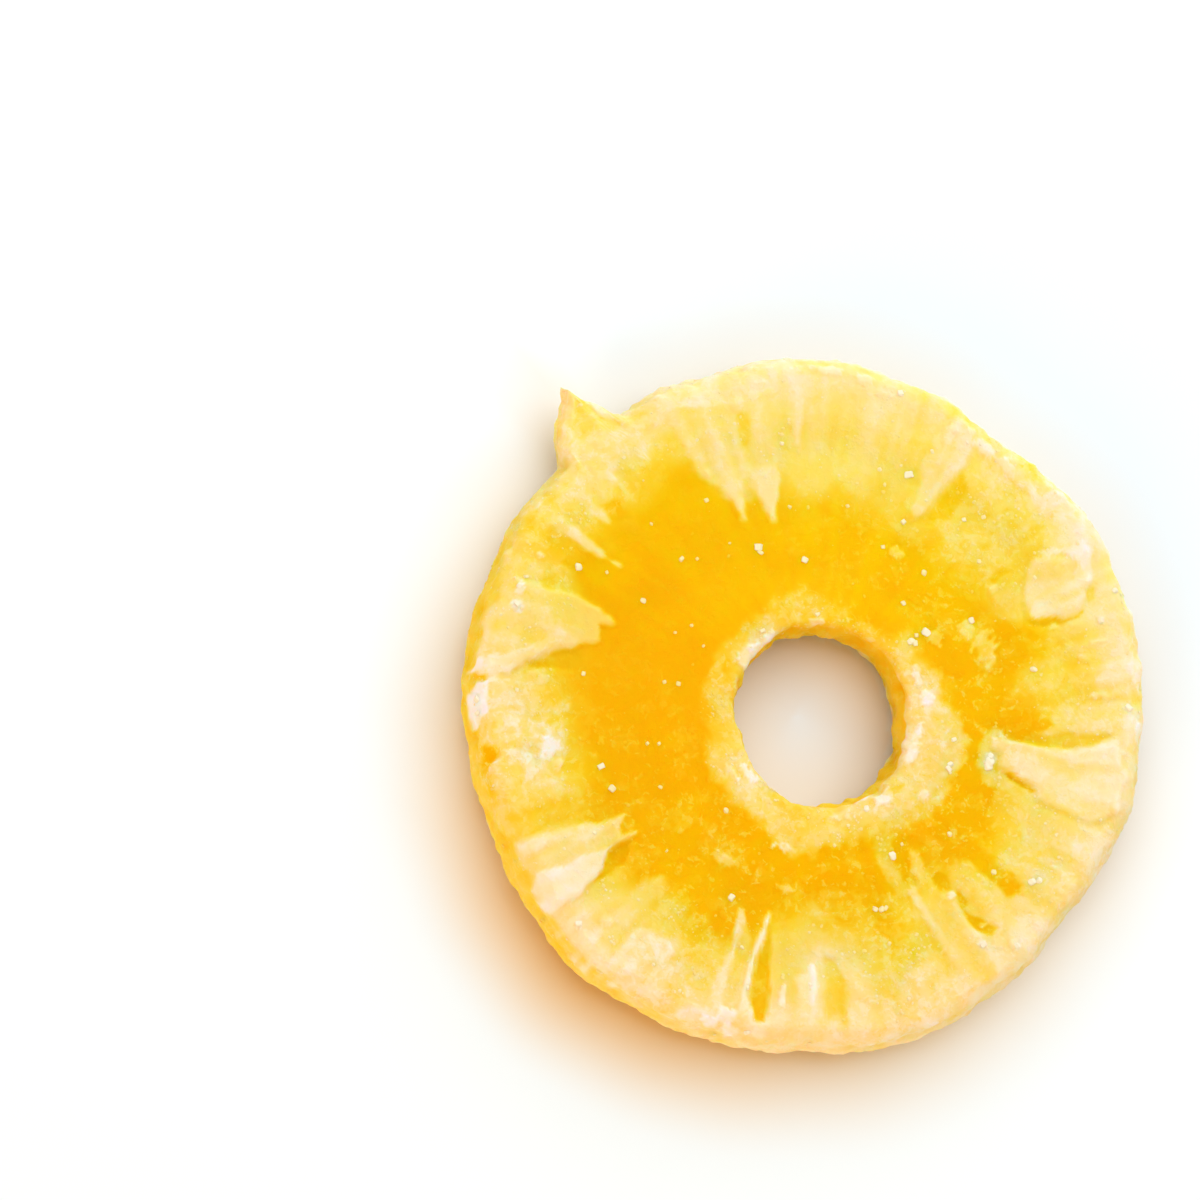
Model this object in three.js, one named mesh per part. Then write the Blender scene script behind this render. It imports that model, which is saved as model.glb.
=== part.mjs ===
import * as THREE from "three";

// A candied pineapple ring, lying flat with its sugared face up. Millimetres, +Z up.
// Angles are in degrees round the ring, counter-clockwise from +X. Radii are from the disc's centre.

// Outline of the disc: [angle, radius], joined by a smooth closed curve.
const RIM = [
  [0, 40.4], [15, 41.0], [30, 41.4], [44, 40.8], [54, 39.9], [63, 40.3], [78, 41.1], [92, 41.1],
  [106, 40.5], [122, 40.0], [140, 39.5], [155, 39.7], [180, 39.9], [192, 39.8], [200, 39.4], [212, 40.1],
  [228, 40.8], [245, 40.5], [262, 39.9], [285, 40.1], [302, 39.8], [318, 38.9], [332, 39.4], [347, 40.4],
];

// Small scallops of the outline, where the segments were cut off: [waves per turn, height, angle of a crest].
const SCALLOPS = [[13, 0.16, 8], [22, 0.12, 50]];

// Torn flap of flesh that points out of the rim. Its tip is at an angle and its torn sides go by the share of
// its reach that is left, [degrees from the tip, share]. It grows out of the last root millimetres of the
// disc, its face droops and its underside rises towards the end, and its edges are rounded by a share of
// what the rim's are.
const TONGUE = {
  angle: 128.25, reach: 6.8, root: 3, droop: 1.8, rise: 3.2, edge: 0.5,
  sides: [[-5, 0], [-3.3, 0.2], [-2.5, 0.48], [-1, 0.62], [0, 1], [1.4, 0.76], [4, 0.6], [6.4, 0.42], [7.6, 0.1], [8.6, 0]],
};

// The cored hole, off the disc's centre, with the slight lobes that the corer leaves.
const HOLE = { x: 1.3, y: -1.5, radius: 10.5, lobes: [[2, 0.25, 100], [3, 0.2, 40], [5, 0.14, 110]] };

// Height of the upper face from the hole's edge (0) to the rim (1), and its slow swell round the ring.
const FACE = [[0, 8.4], [0.1, 8.6], [0.24, 8.0], [0.42, 7.4], [0.62, 7.8], [0.8, 8.8], [0.93, 9.1], [1, 8.9]];
const SWELL = [[2, 0.18, 30], [3, 0.14, 200]];

// Radii of the rounded edges, and how far the outer wall bellies out and the core's wall narrows.
const EDGE = { rimTop: 2.4, rimFoot: 2.0, holeTop: 1.0, holeFoot: 1.3 };
const BELLY = 0.55;
const WAIST = 0.45;

// Segments of flesh that stand up as wedges: a tip on the face, opening to half a width at the rim.
// steps lists the sides that end in a step, -1 the lower angle and 1 the higher one; the others slope.
// A wedge runs out to the rim, or stops at its end radius.
const WEDGES = [
  { tip: [24.5, 28.5], rim: 24.3, half: 4.6, height: 0.55, steps: [-1], end: 37.6 },
  { tip: [60.2, 25], rim: 61, half: 3.4, height: 0.42, steps: [-1] },
  { tip: [101.2, 21.6], rim: 100, half: 3.6, height: 0.5, steps: [-1] },
  { tip: [110, 22.5], rim: 112.5, half: 4.6, height: 0.5, steps: [] },
  { tip: [145.8, 27], rim: 146.2, half: 2.2, height: 0.28, steps: [] },
  { tip: [161.5, 24.4], rim: 167, half: 9, height: 0.62, steps: [1] },
  { tip: [184, 28.5], rim: 184.5, half: 7, height: 0.4, steps: [-1] },
  { tip: [213, 24.8], rim: 213.2, half: 7, height: 0.75, steps: [-1, 1] },
  { tip: [229.5, 26.5], rim: 228, half: 4.2, height: 0.22, steps: [] },
  { tip: [236, 31], rim: 236, half: 4.2, height: 0.3, steps: [] },
  { tip: [250.8, 25.5], rim: 251.4, half: 2.2, height: 0.3, steps: [] },
  { tip: [258.2, 24.6], rim: 257, half: 2.4, height: 0.62, steps: [1] },
  { tip: [268.5, 28.5], rim: 268.5, half: 2.8, height: 0.22, steps: [] },
  { tip: [279.5, 29], rim: 280, half: 2.4, height: 0.2, steps: [] },
  { tip: [301, 23], rim: 302.5, half: 4, height: 0.24, steps: [] },
  { tip: [311.5, 24], rim: 313.5, half: 4, height: 0.3, steps: [-1], end: 33 },
  { tip: [346.6, 22.4], rim: 345.6, half: 8, height: 0.75, steps: [-1, 1] },
];

// Clefts between segments: an angle that may lean along the way, from one radius to another.
const CLEFTS = [
  { from: [23.5, 26], to: [19.3, 34], half: 1.9, depth: 0.5 },
  { from: [13, 23.5], to: [17.5, 31], half: 3, depth: 0.25 },
  { from: [56.3, 24.5], to: [56, 34.5], half: 2.2, depth: 0.25 },
  { from: [103.8, 28.5], to: [104, 37], half: 1.6, depth: 0.3 },
  { from: [170.5, 25.8], to: [176, 35.5], half: 2, depth: 0.5 },
  { from: [192, 36.5], to: [191.3, 42], half: 3.2, depth: 0.9 },
  { from: [218, 25], to: [221.3, 35.5], half: 2.2, depth: 0.8 },
  { from: [259.4, 25], to: [260.2, 39], half: 2, depth: 0.8 },
  { from: [303, 18], to: [308.3, 35.5], half: 2.2, depth: 0.45 },
  { from: [343, 23], to: [338.6, 30.5], half: 2, depth: 0.65 },
  { from: [352.2, 24], to: [355.2, 37.5], half: 2, depth: 0.5 },
];

// Underside: it rests on a flat land, with a shallow dish towards the hole and shrinkage furrows.
const DISH = { depth: 0.8, reach: 0.45 };
const FURROWS = { waves: [[7, 0.5, 20], [11, 0.5, 75]], share: 0.35, depth: 0.7, start: 0.18 };

// How finely the surface is divided round the ring and across its section.
const SIDES = 160;
const ROWS = { face: 17, rimTop: 3, wall: 3, rimFoot: 2, underside: 6, holeFoot: 1, core: 2, holeTop: 2 };

const FULL_TURN = 360;
const radians = (degrees) => (degrees * Math.PI) / 180;
const clamp01 = (value) => Math.min(1, Math.max(0, value));
const mix = (a, b, t) => a + (b - a) * t;
const smooth = (t) => clamp01(t) ** 2 * (3 - 2 * clamp01(t));
const angleGap = (a, b) => ((a - b + 1.5 * FULL_TURN) % FULL_TURN) - FULL_TURN / 2;

// Smooth closed curve through [angle, value] points: cubic pieces with slopes taken across each point.
function around(points, angle) {
  const count = points.length;
  const at = (i) => {
    const turns = Math.floor(i / count);
    const [a, v] = points[i - turns * count];
    return [a + turns * FULL_TURN, v];
  };
  const turned = ((angle % FULL_TURN) + FULL_TURN) % FULL_TURN;
  let i = points.findLastIndex(([a]) => a <= turned);
  const [[a0, v0], [a1, v1], [a2, v2], [a3, v3]] = [at(i - 1), at(i), at(i + 1), at(i + 2)];
  const span = a2 - a1;
  const t = (turned - a1) / span;
  const slope1 = ((v2 - v0) / (a2 - a0)) * span;
  const slope2 = ((v3 - v1) / (a3 - a1)) * span;
  const bend = v1 - v2;
  return v1 + slope1 * t + (-3 * bend - 2 * slope1 - slope2) * t ** 2 + (2 * bend + slope1 + slope2) * t ** 3;
}

// Value along a line of [place, value] points, eased from each point to the next.
function along(points, place) {
  const last = points.length - 1;
  const i = Math.min(last - 1, Math.max(0, points.findLastIndex(([p]) => p <= place)));
  const [[p0, v0], [p1, v1]] = [points[i], points[i + 1]];
  return mix(v0, v1, smooth((place - p0) / (p1 - p0)));
}

// Sum of waves round the ring: [waves per turn, height, angle of a crest].
function waves(list, angle) {
  return list.reduce((sum, [count, size, crest]) => sum + size * Math.cos(radians(count * (angle - crest))), 0);
}

// Radius of the disc without its torn tongue.
const discRadius = (angle) => around(RIM, angle) + waves(SCALLOPS, angle);

// Share of its reach that the tongue has at an angle: 0 beside it, 1 at its tip.
function tongueShare(angle) {
  const gap = angleGap(angle, TONGUE.angle);
  const [first, last] = [TONGUE.sides[0][0], TONGUE.sides.at(-1)[0]];
  return along(TONGUE.sides, Math.min(last, Math.max(first, gap)));
}

// Outer radius: the disc's, with the tongue standing out of it.
const rimRadius = (angle) => discRadius(angle) + TONGUE.reach * tongueShare(angle);

// How far out on the tongue a point is: 0 on the disc, 1 at the tongue's end.
function onTongue(angle, radius) {
  const reach = TONGUE.root + TONGUE.reach * tongueShare(angle);
  return smooth(2 * tongueShare(angle)) * smooth((radius - discRadius(angle) + TONGUE.root) / reach);
}

// Radius of the hole's edge, where a ray from the disc's centre leaves the off-centre hole.
function holeRadius(angle) {
  const [c, s] = [Math.cos(radians(angle)), Math.sin(radians(angle))];
  const inward = HOLE.x * c + HOLE.y * s;
  const across = HOLE.x * s - HOLE.y * c;
  const radius = HOLE.radius + waves(HOLE.lobes, angle);
  return inward + Math.sqrt(radius ** 2 - across ** 2);
}

// Height that one wedge adds: it opens from its tip to the rim, with soft or stepped sides.
function wedgeHeight({ tip, rim, half, height, steps, end = Infinity }, angle, radius) {
  const open = clamp01((radius - tip[1]) / (36 - tip[1]));
  const gap = angleGap(angle, mix(tip[0], rim, open)) / (half * mix(0.25, 1, open));
  const ease = steps.includes(Math.sign(gap)) ? 0.3 : 0.75;
  return height * smooth((1 - Math.abs(gap)) / ease) * smooth((radius - tip[1]) / 4) * smooth((end - radius) / 2);
}

// Depth that one cleft takes: deepest along its line, fading at both ends.
function cleftDepth({ from, to, half, depth }, angle, radius) {
  const t = (radius - from[1]) / (to[1] - from[1]);
  const gap = Math.abs(angleGap(angle, mix(from[0], to[0], clamp01(t)))) / half;
  return depth * smooth(1 - gap) * smooth(t * 5) * smooth((1 - t) * 5);
}

// Height of the upper face before its edges are rounded.
function faceHeight(angle, radius) {
  const place = (radius - holeRadius(angle)) / (discRadius(angle) - holeRadius(angle));
  const level = along(FACE, clamp01(place)) + waves(SWELL, angle) * smooth(place * 2);
  const raised = WEDGES.reduce((most, wedge) => Math.max(most, wedgeHeight(wedge, angle, radius)), 0);
  const sunk = CLEFTS.reduce((most, cleft) => Math.max(most, cleftDepth(cleft, angle, radius)), 0);
  return level + raised - sunk - TONGUE.droop * onTongue(angle, radius);
}

// Height of the underside: zero on its land, a dish near the hole and furrows that run out to the rim.
function footHeight(angle, radius) {
  const place = (radius - holeRadius(angle)) / (rimRadius(angle) - holeRadius(angle));
  const dish = DISH.depth * smooth(1 - place / DISH.reach);
  const furrow = smooth((waves(FURROWS.waves, angle) - FURROWS.share) / (1 - FURROWS.share));
  const shrunk = FURROWS.depth * furrow * smooth((place - FURROWS.start) * 3);
  return dish + shrunk + TONGUE.rise * onTongue(angle, radius);
}

// How far a quarter round of this radius has dropped at a distance into it.
const roundDrop = (round, into) => round - Math.sqrt(Math.max(0, round ** 2 - Math.max(0, into) ** 2));

// One cross-section, as [radius, height] points: out along the face, down the rim, back under, up the core.
function section(angle) {
  const [hole, rim, disc] = [holeRadius(angle), rimRadius(angle), discRadius(angle)];
  const thinned = mix(1, TONGUE.edge, tongueShare(angle));
  const [rimTop, rimFoot] = [EDGE.rimTop * thinned, EDGE.rimFoot * thinned];
  // Radius on the way from the hole to the disc's rim. Only its outer fifth follows the tongue.
  const across = (start, end, t) => mix(start, disc - end, t) + (rim - disc) * smooth((t - 0.8) * 5);
  const steps = (count, make) => Array.from({ length: count }, (_, k) => make((k + 1) / count));
  const top = (radius) => {
    const drop = roundDrop(rimTop, radius - rim + rimTop);
    return [radius, faceHeight(angle, radius) - drop - roundDrop(EDGE.holeTop, hole + EDGE.holeTop - radius)];
  };
  const foot = (radius) => {
    const rise = roundDrop(rimFoot, radius - rim + rimFoot);
    return [radius, footHeight(angle, radius) + rise + roundDrop(EDGE.holeFoot, hole + EDGE.holeFoot - radius)];
  };
  const quarter = (t) => Math.sin((t * Math.PI) / 2);
  const [rimShoulder, rimHeel] = [top(rim)[1], foot(rim)[1]];
  const [coreFoot, coreTop] = [foot(hole)[1], top(hole)[1]];
  return [
    ...steps(ROWS.face, (t) => top(across(hole + EDGE.holeTop, rimTop, t))),
    ...steps(ROWS.rimTop, (t) => top(rim - rimTop + rimTop * quarter(t))),
    ...steps(ROWS.wall, (t) => [rim + BELLY * Math.sin(Math.PI * t), mix(rimShoulder, rimHeel, t)]),
    ...steps(ROWS.rimFoot, (t) => foot(rim - rimFoot * (1 - quarter(1 - t)))),
    ...steps(ROWS.underside, (t) => foot(across(hole + EDGE.holeFoot, rimFoot, 1 - t))),
    ...steps(ROWS.holeFoot, (t) => foot(hole + EDGE.holeFoot * (1 - quarter(t)))),
    ...steps(ROWS.core, (t) => [hole - WAIST * Math.sin(Math.PI * t), mix(coreFoot, coreTop, t)]),
    ...steps(ROWS.holeTop, (t) => top(hole + EDGE.holeTop * (1 - quarter(1 - t)))),
  ];
}

// Closed surface: every section joined to the next, and the last to the first.
function ringGeometry() {
  const sections = Array.from({ length: SIDES }, (_, k) => (k * FULL_TURN) / SIDES);
  const points = sections.map((angle) => section(angle).map(([radius, height]) =>
    [radius * Math.cos(radians(angle)), radius * Math.sin(radians(angle)), height]));
  const rows = points[0].length;
  const faces = [];
  for (let side = 0; side < SIDES; side += 1) {
    for (let row = 0; row < rows; row += 1) {
      const [here, next] = [side * rows, ((side + 1) % SIDES) * rows];
      const below = (row + 1) % rows;
      faces.push(here + row, here + below, next + below);
      faces.push(here + row, next + below, next + row);
    }
  }
  const geometry = new THREE.BufferGeometry();
  geometry.setAttribute("position", new THREE.Float32BufferAttribute(points.flat(2), 3));
  geometry.setIndex(faces);
  geometry.computeBoundingBox();
  const { min, max } = geometry.boundingBox;
  geometry.translate(-(min.x + max.x) / 2, -(min.y + max.y) / 2, -min.z);
  geometry.computeVertexNormals();
  return geometry;
}

const candiedFlesh = new THREE.MeshStandardMaterial({ color: 0xfcc64a, roughness: 0.55, metalness: 0 });

const ring = new THREE.Mesh(ringGeometry(), candiedFlesh);
ring.name = "pineapple_ring";

const group = new THREE.Group();
group.add(ring);

export default group;
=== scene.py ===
"""A candied pineapple ring: golden, half-clear flesh with a dried crust and a frost of sugar.

The ring lies on its flat side. Its shape is worked out in millimetres from the disc's centre, with
angles in degrees round the ring, counter-clockwise from +X, and put into the meshes in metres.
"""
import math

import bmesh
import bpy
import numpy as np
from mathutils import Matrix, Vector


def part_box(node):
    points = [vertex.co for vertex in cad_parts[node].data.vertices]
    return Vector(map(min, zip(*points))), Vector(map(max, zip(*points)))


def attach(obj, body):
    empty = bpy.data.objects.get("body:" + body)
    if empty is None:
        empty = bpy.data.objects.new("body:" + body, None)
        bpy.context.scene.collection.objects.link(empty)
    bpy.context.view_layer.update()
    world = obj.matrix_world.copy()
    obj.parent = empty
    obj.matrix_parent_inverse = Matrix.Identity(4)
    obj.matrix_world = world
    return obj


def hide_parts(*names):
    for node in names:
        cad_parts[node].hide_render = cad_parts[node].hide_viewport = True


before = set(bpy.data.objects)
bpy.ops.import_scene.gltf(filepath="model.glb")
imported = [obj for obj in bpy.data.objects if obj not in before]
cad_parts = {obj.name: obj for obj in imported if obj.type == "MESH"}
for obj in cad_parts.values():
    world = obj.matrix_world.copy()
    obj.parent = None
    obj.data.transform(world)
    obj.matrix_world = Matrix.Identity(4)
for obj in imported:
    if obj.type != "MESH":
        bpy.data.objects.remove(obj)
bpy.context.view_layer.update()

# ---------------------------------------------------------------------------------------------------
# The flesh: one slice across the fruit, cored, soaked in sugar and dried. Its segments shrank into
# wedges and clefts, and the surface went from clear gold to a pale crust at the rim and the hole.

MM = 0.001
FULL_TURN = 360.0

# Outline of the disc, the torn flap that stands out of it and the cored hole, as in the solid.
RIM = [
    (0, 40.4), (15, 41.0), (30, 41.4), (44, 40.8), (54, 39.9), (63, 40.3), (78, 41.1), (92, 41.1),
    (106, 40.5), (122, 40.0), (140, 39.5), (155, 39.7), (180, 39.9), (192, 39.8), (200, 39.4), (212, 40.1),
    (228, 40.8), (245, 40.5), (262, 39.9), (285, 40.1), (302, 39.8), (318, 38.9), (332, 39.4), (347, 40.4),
]
SCALLOPS = [(13, 0.16, 8), (22, 0.12, 50)]
TONGUE = {"angle": 128.25, "reach": 6.8, "root": 3.0, "droop": 1.8, "rise": 3.2, "edge": 0.5,
          "sides": [(-5, 0), (-3.3, 0.2), (-2.5, 0.48), (-1, 0.62), (0, 1), (1.4, 0.76), (4, 0.6),
                    (6.4, 0.42), (7.6, 0.1), (8.6, 0)]}
HOLE = {"x": 1.3, "y": -1.5, "radius": 10.5, "lobes": [(2, 0.25, 100), (3, 0.2, 40), (5, 0.14, 110)]}

# Height of the face from the hole's edge (0) to the rim (1), and its slow swell round the ring.
FACE = [(0, 8.4), (0.1, 8.6), (0.24, 8.0), (0.42, 7.4), (0.62, 7.8), (0.8, 8.8), (0.93, 9.1), (1, 8.9)]
SWELL = [(2, 0.18, 30), (3, 0.14, 200)]
EDGE = {"rim_top": 2.4, "rim_foot": 2.0, "hole_top": 1.0, "hole_foot": 1.3}
BELLY = 0.55
WAIST = 0.45
DISH = {"depth": 0.8, "reach": 0.45}
FURROWS = {"waves": [(7, 0.5, 20), (11, 0.5, 75)], "share": 0.35, "depth": 0.7, "start": 0.18}

# The pale crust of the outer half: angle, radius where it starts, its frost there and that at the rim.
PALE = [
    (0, 26.6, 0.4, 0.6), (8, 26, 0.32, 0.64), (15, 29, 0.41, 0.6), (20, 28.6, 0.5, 0.62),
    (27, 25, 0.31, 0.68), (36, 24.6, 0.3, 0.73), (46, 24, 0.37, 0.62), (56, 24.6, 0.4, 0.5),
    (66, 24.2, 0.36, 0.54), (78, 24.9, 0.43, 0.67), (88, 24.6, 0.44, 0.6), (96, 24.4, 0.4, 0.63),
    (104, 25.8, 0.41, 0.65), (112, 27.6, 0.52, 0.72), (118, 32.4, 0.58, 0.54), (126, 32.2, 0.54, 0.54),
    (136, 31.5, 0.46, 0.55), (144, 32.3, 0.4, 0.38), (152, 34, 0.41, 0.28), (158, 31, 0.38, 0.33),
    (166, 30, 0.43, 0.32), (175, 29.3, 0.43, 0.36), (182, 28.6, 0.41, 0.62), (192, 30, 0.6, 0.56),
    (200, 28.8, 0.39, 0.34), (208, 31, 0.32, 0.48), (216, 31, 0.38, 0.54), (222, 30.5, 0.38, 0.6),
    # Painted light in part: the rim's frost from 228 to 244 degrees is raised, so that the rim, turned from
    # the lamp there, shows paler.
    (228, 28.8, 0.37, 0.66), (236, 29, 0.33, 0.62), (244, 29.6, 0.26, 0.58), (250, 28.6, 0.24, 0.58),
    (256, 27.2, 0.3, 0.61), (264, 25.4, 0.36, 0.6), (272, 25, 0.55, 0.6), (280, 27, 0.54, 0.66),
    (288, 26.6, 0.22, 0.52), (296, 25, 0.34, 0.63), (304, 25, 0.41, 0.67), (312, 25.4, 0.43, 0.64),
    (320, 26.8, 0.41, 0.58), (328, 24.8, 0.38, 0.53), (336, 25, 0.42, 0.57), (344, 26.4, 0.49, 0.58),
    (352, 26.6, 0.5, 0.55),
]

# The crusted collar of the hole: angle, radius it reaches to, its frost at the hole's edge and that there.
COLLAR = [
    (0, 16.5, 0.5, 0.58), (15, 15.3, 0.42, 0.42), (30, 14.6, 0.36, 0.32), (42, 12.6, 0.34, 0.1),
    (55, 12, 0.16, 0.06), (70, 12.6, 0.18, 0.13), (86, 12.8, 0.3, 0.2), (98, 13, 0.26, 0.18),
    (110, 13.2, 0.3, 0.14), (124, 11.8, 0.5, 0.14), (135, 11.8, 0.62, 0.24), (148, 11.8, 0.66, 0.26),
    (160, 11.8, 0.34, 0.12), (175, 12.8, 0.24, 0.14), (190, 13, 0.38, 0.22), (205, 13.6, 0.42, 0.28),
    (216, 15, 0.46, 0.48), (230, 14.7, 0.5, 0.42), (242, 15.2, 0.46, 0.44), (252, 16.3, 0.36, 0.38),
    (262, 17.7, 0.3, 0.42), (272, 17.2, 0.36, 0.52), (284, 16.5, 0.46, 0.4), (297, 17.4, 0.56, 0.4),
    (308, 18.5, 0.4, 0.32), (318, 19.2, 0.34, 0.32), (328, 19, 0.5, 0.42), (338, 19.3, 0.54, 0.5),
    (348, 18.7, 0.54, 0.48), (355, 17.6, 0.53, 0.5),
]

# How much the frost breaks up into clouds and specks, on the inner half and on the outer one.
CLOUD_INNER = [
    (0, 0.65), (25, 0.6), (45, 0.5), (75, 0.35), (100, 0.18), (125, 0.08), (165, 0.08), (190, 0.34),
    (215, 0.5), (245, 0.65), (275, 0.7), (300, 0.7), (330, 0.75),
]
CLOUD_OUTER = [
    (0, 0.7), (25, 0.3), (45, 0.8), (62, 0.4), (78, 0.3), (105, 0.4), (130, 0.6), (150, 0.7), (165, 0.4),
    (180, 0.8), (192, 1.1), (203, 0.5), (215, 0.3), (228, 0.4), (246, 0.8), (257, 0.4), (270, 0.4),
    (288, 0.9), (303, 0.4), (315, 0.6), (330, 0.7), (346, 0.35),
]
WALL_FROST = [
    (0, 0.62), (60, 0.62), (100, 0.6), (130, 0.5), (160, 0.26), (200, 0.24), (225, 0.28), (240, 0.4),
    (265, 0.58), (300, 0.52), (340, 0.58),
]
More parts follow.
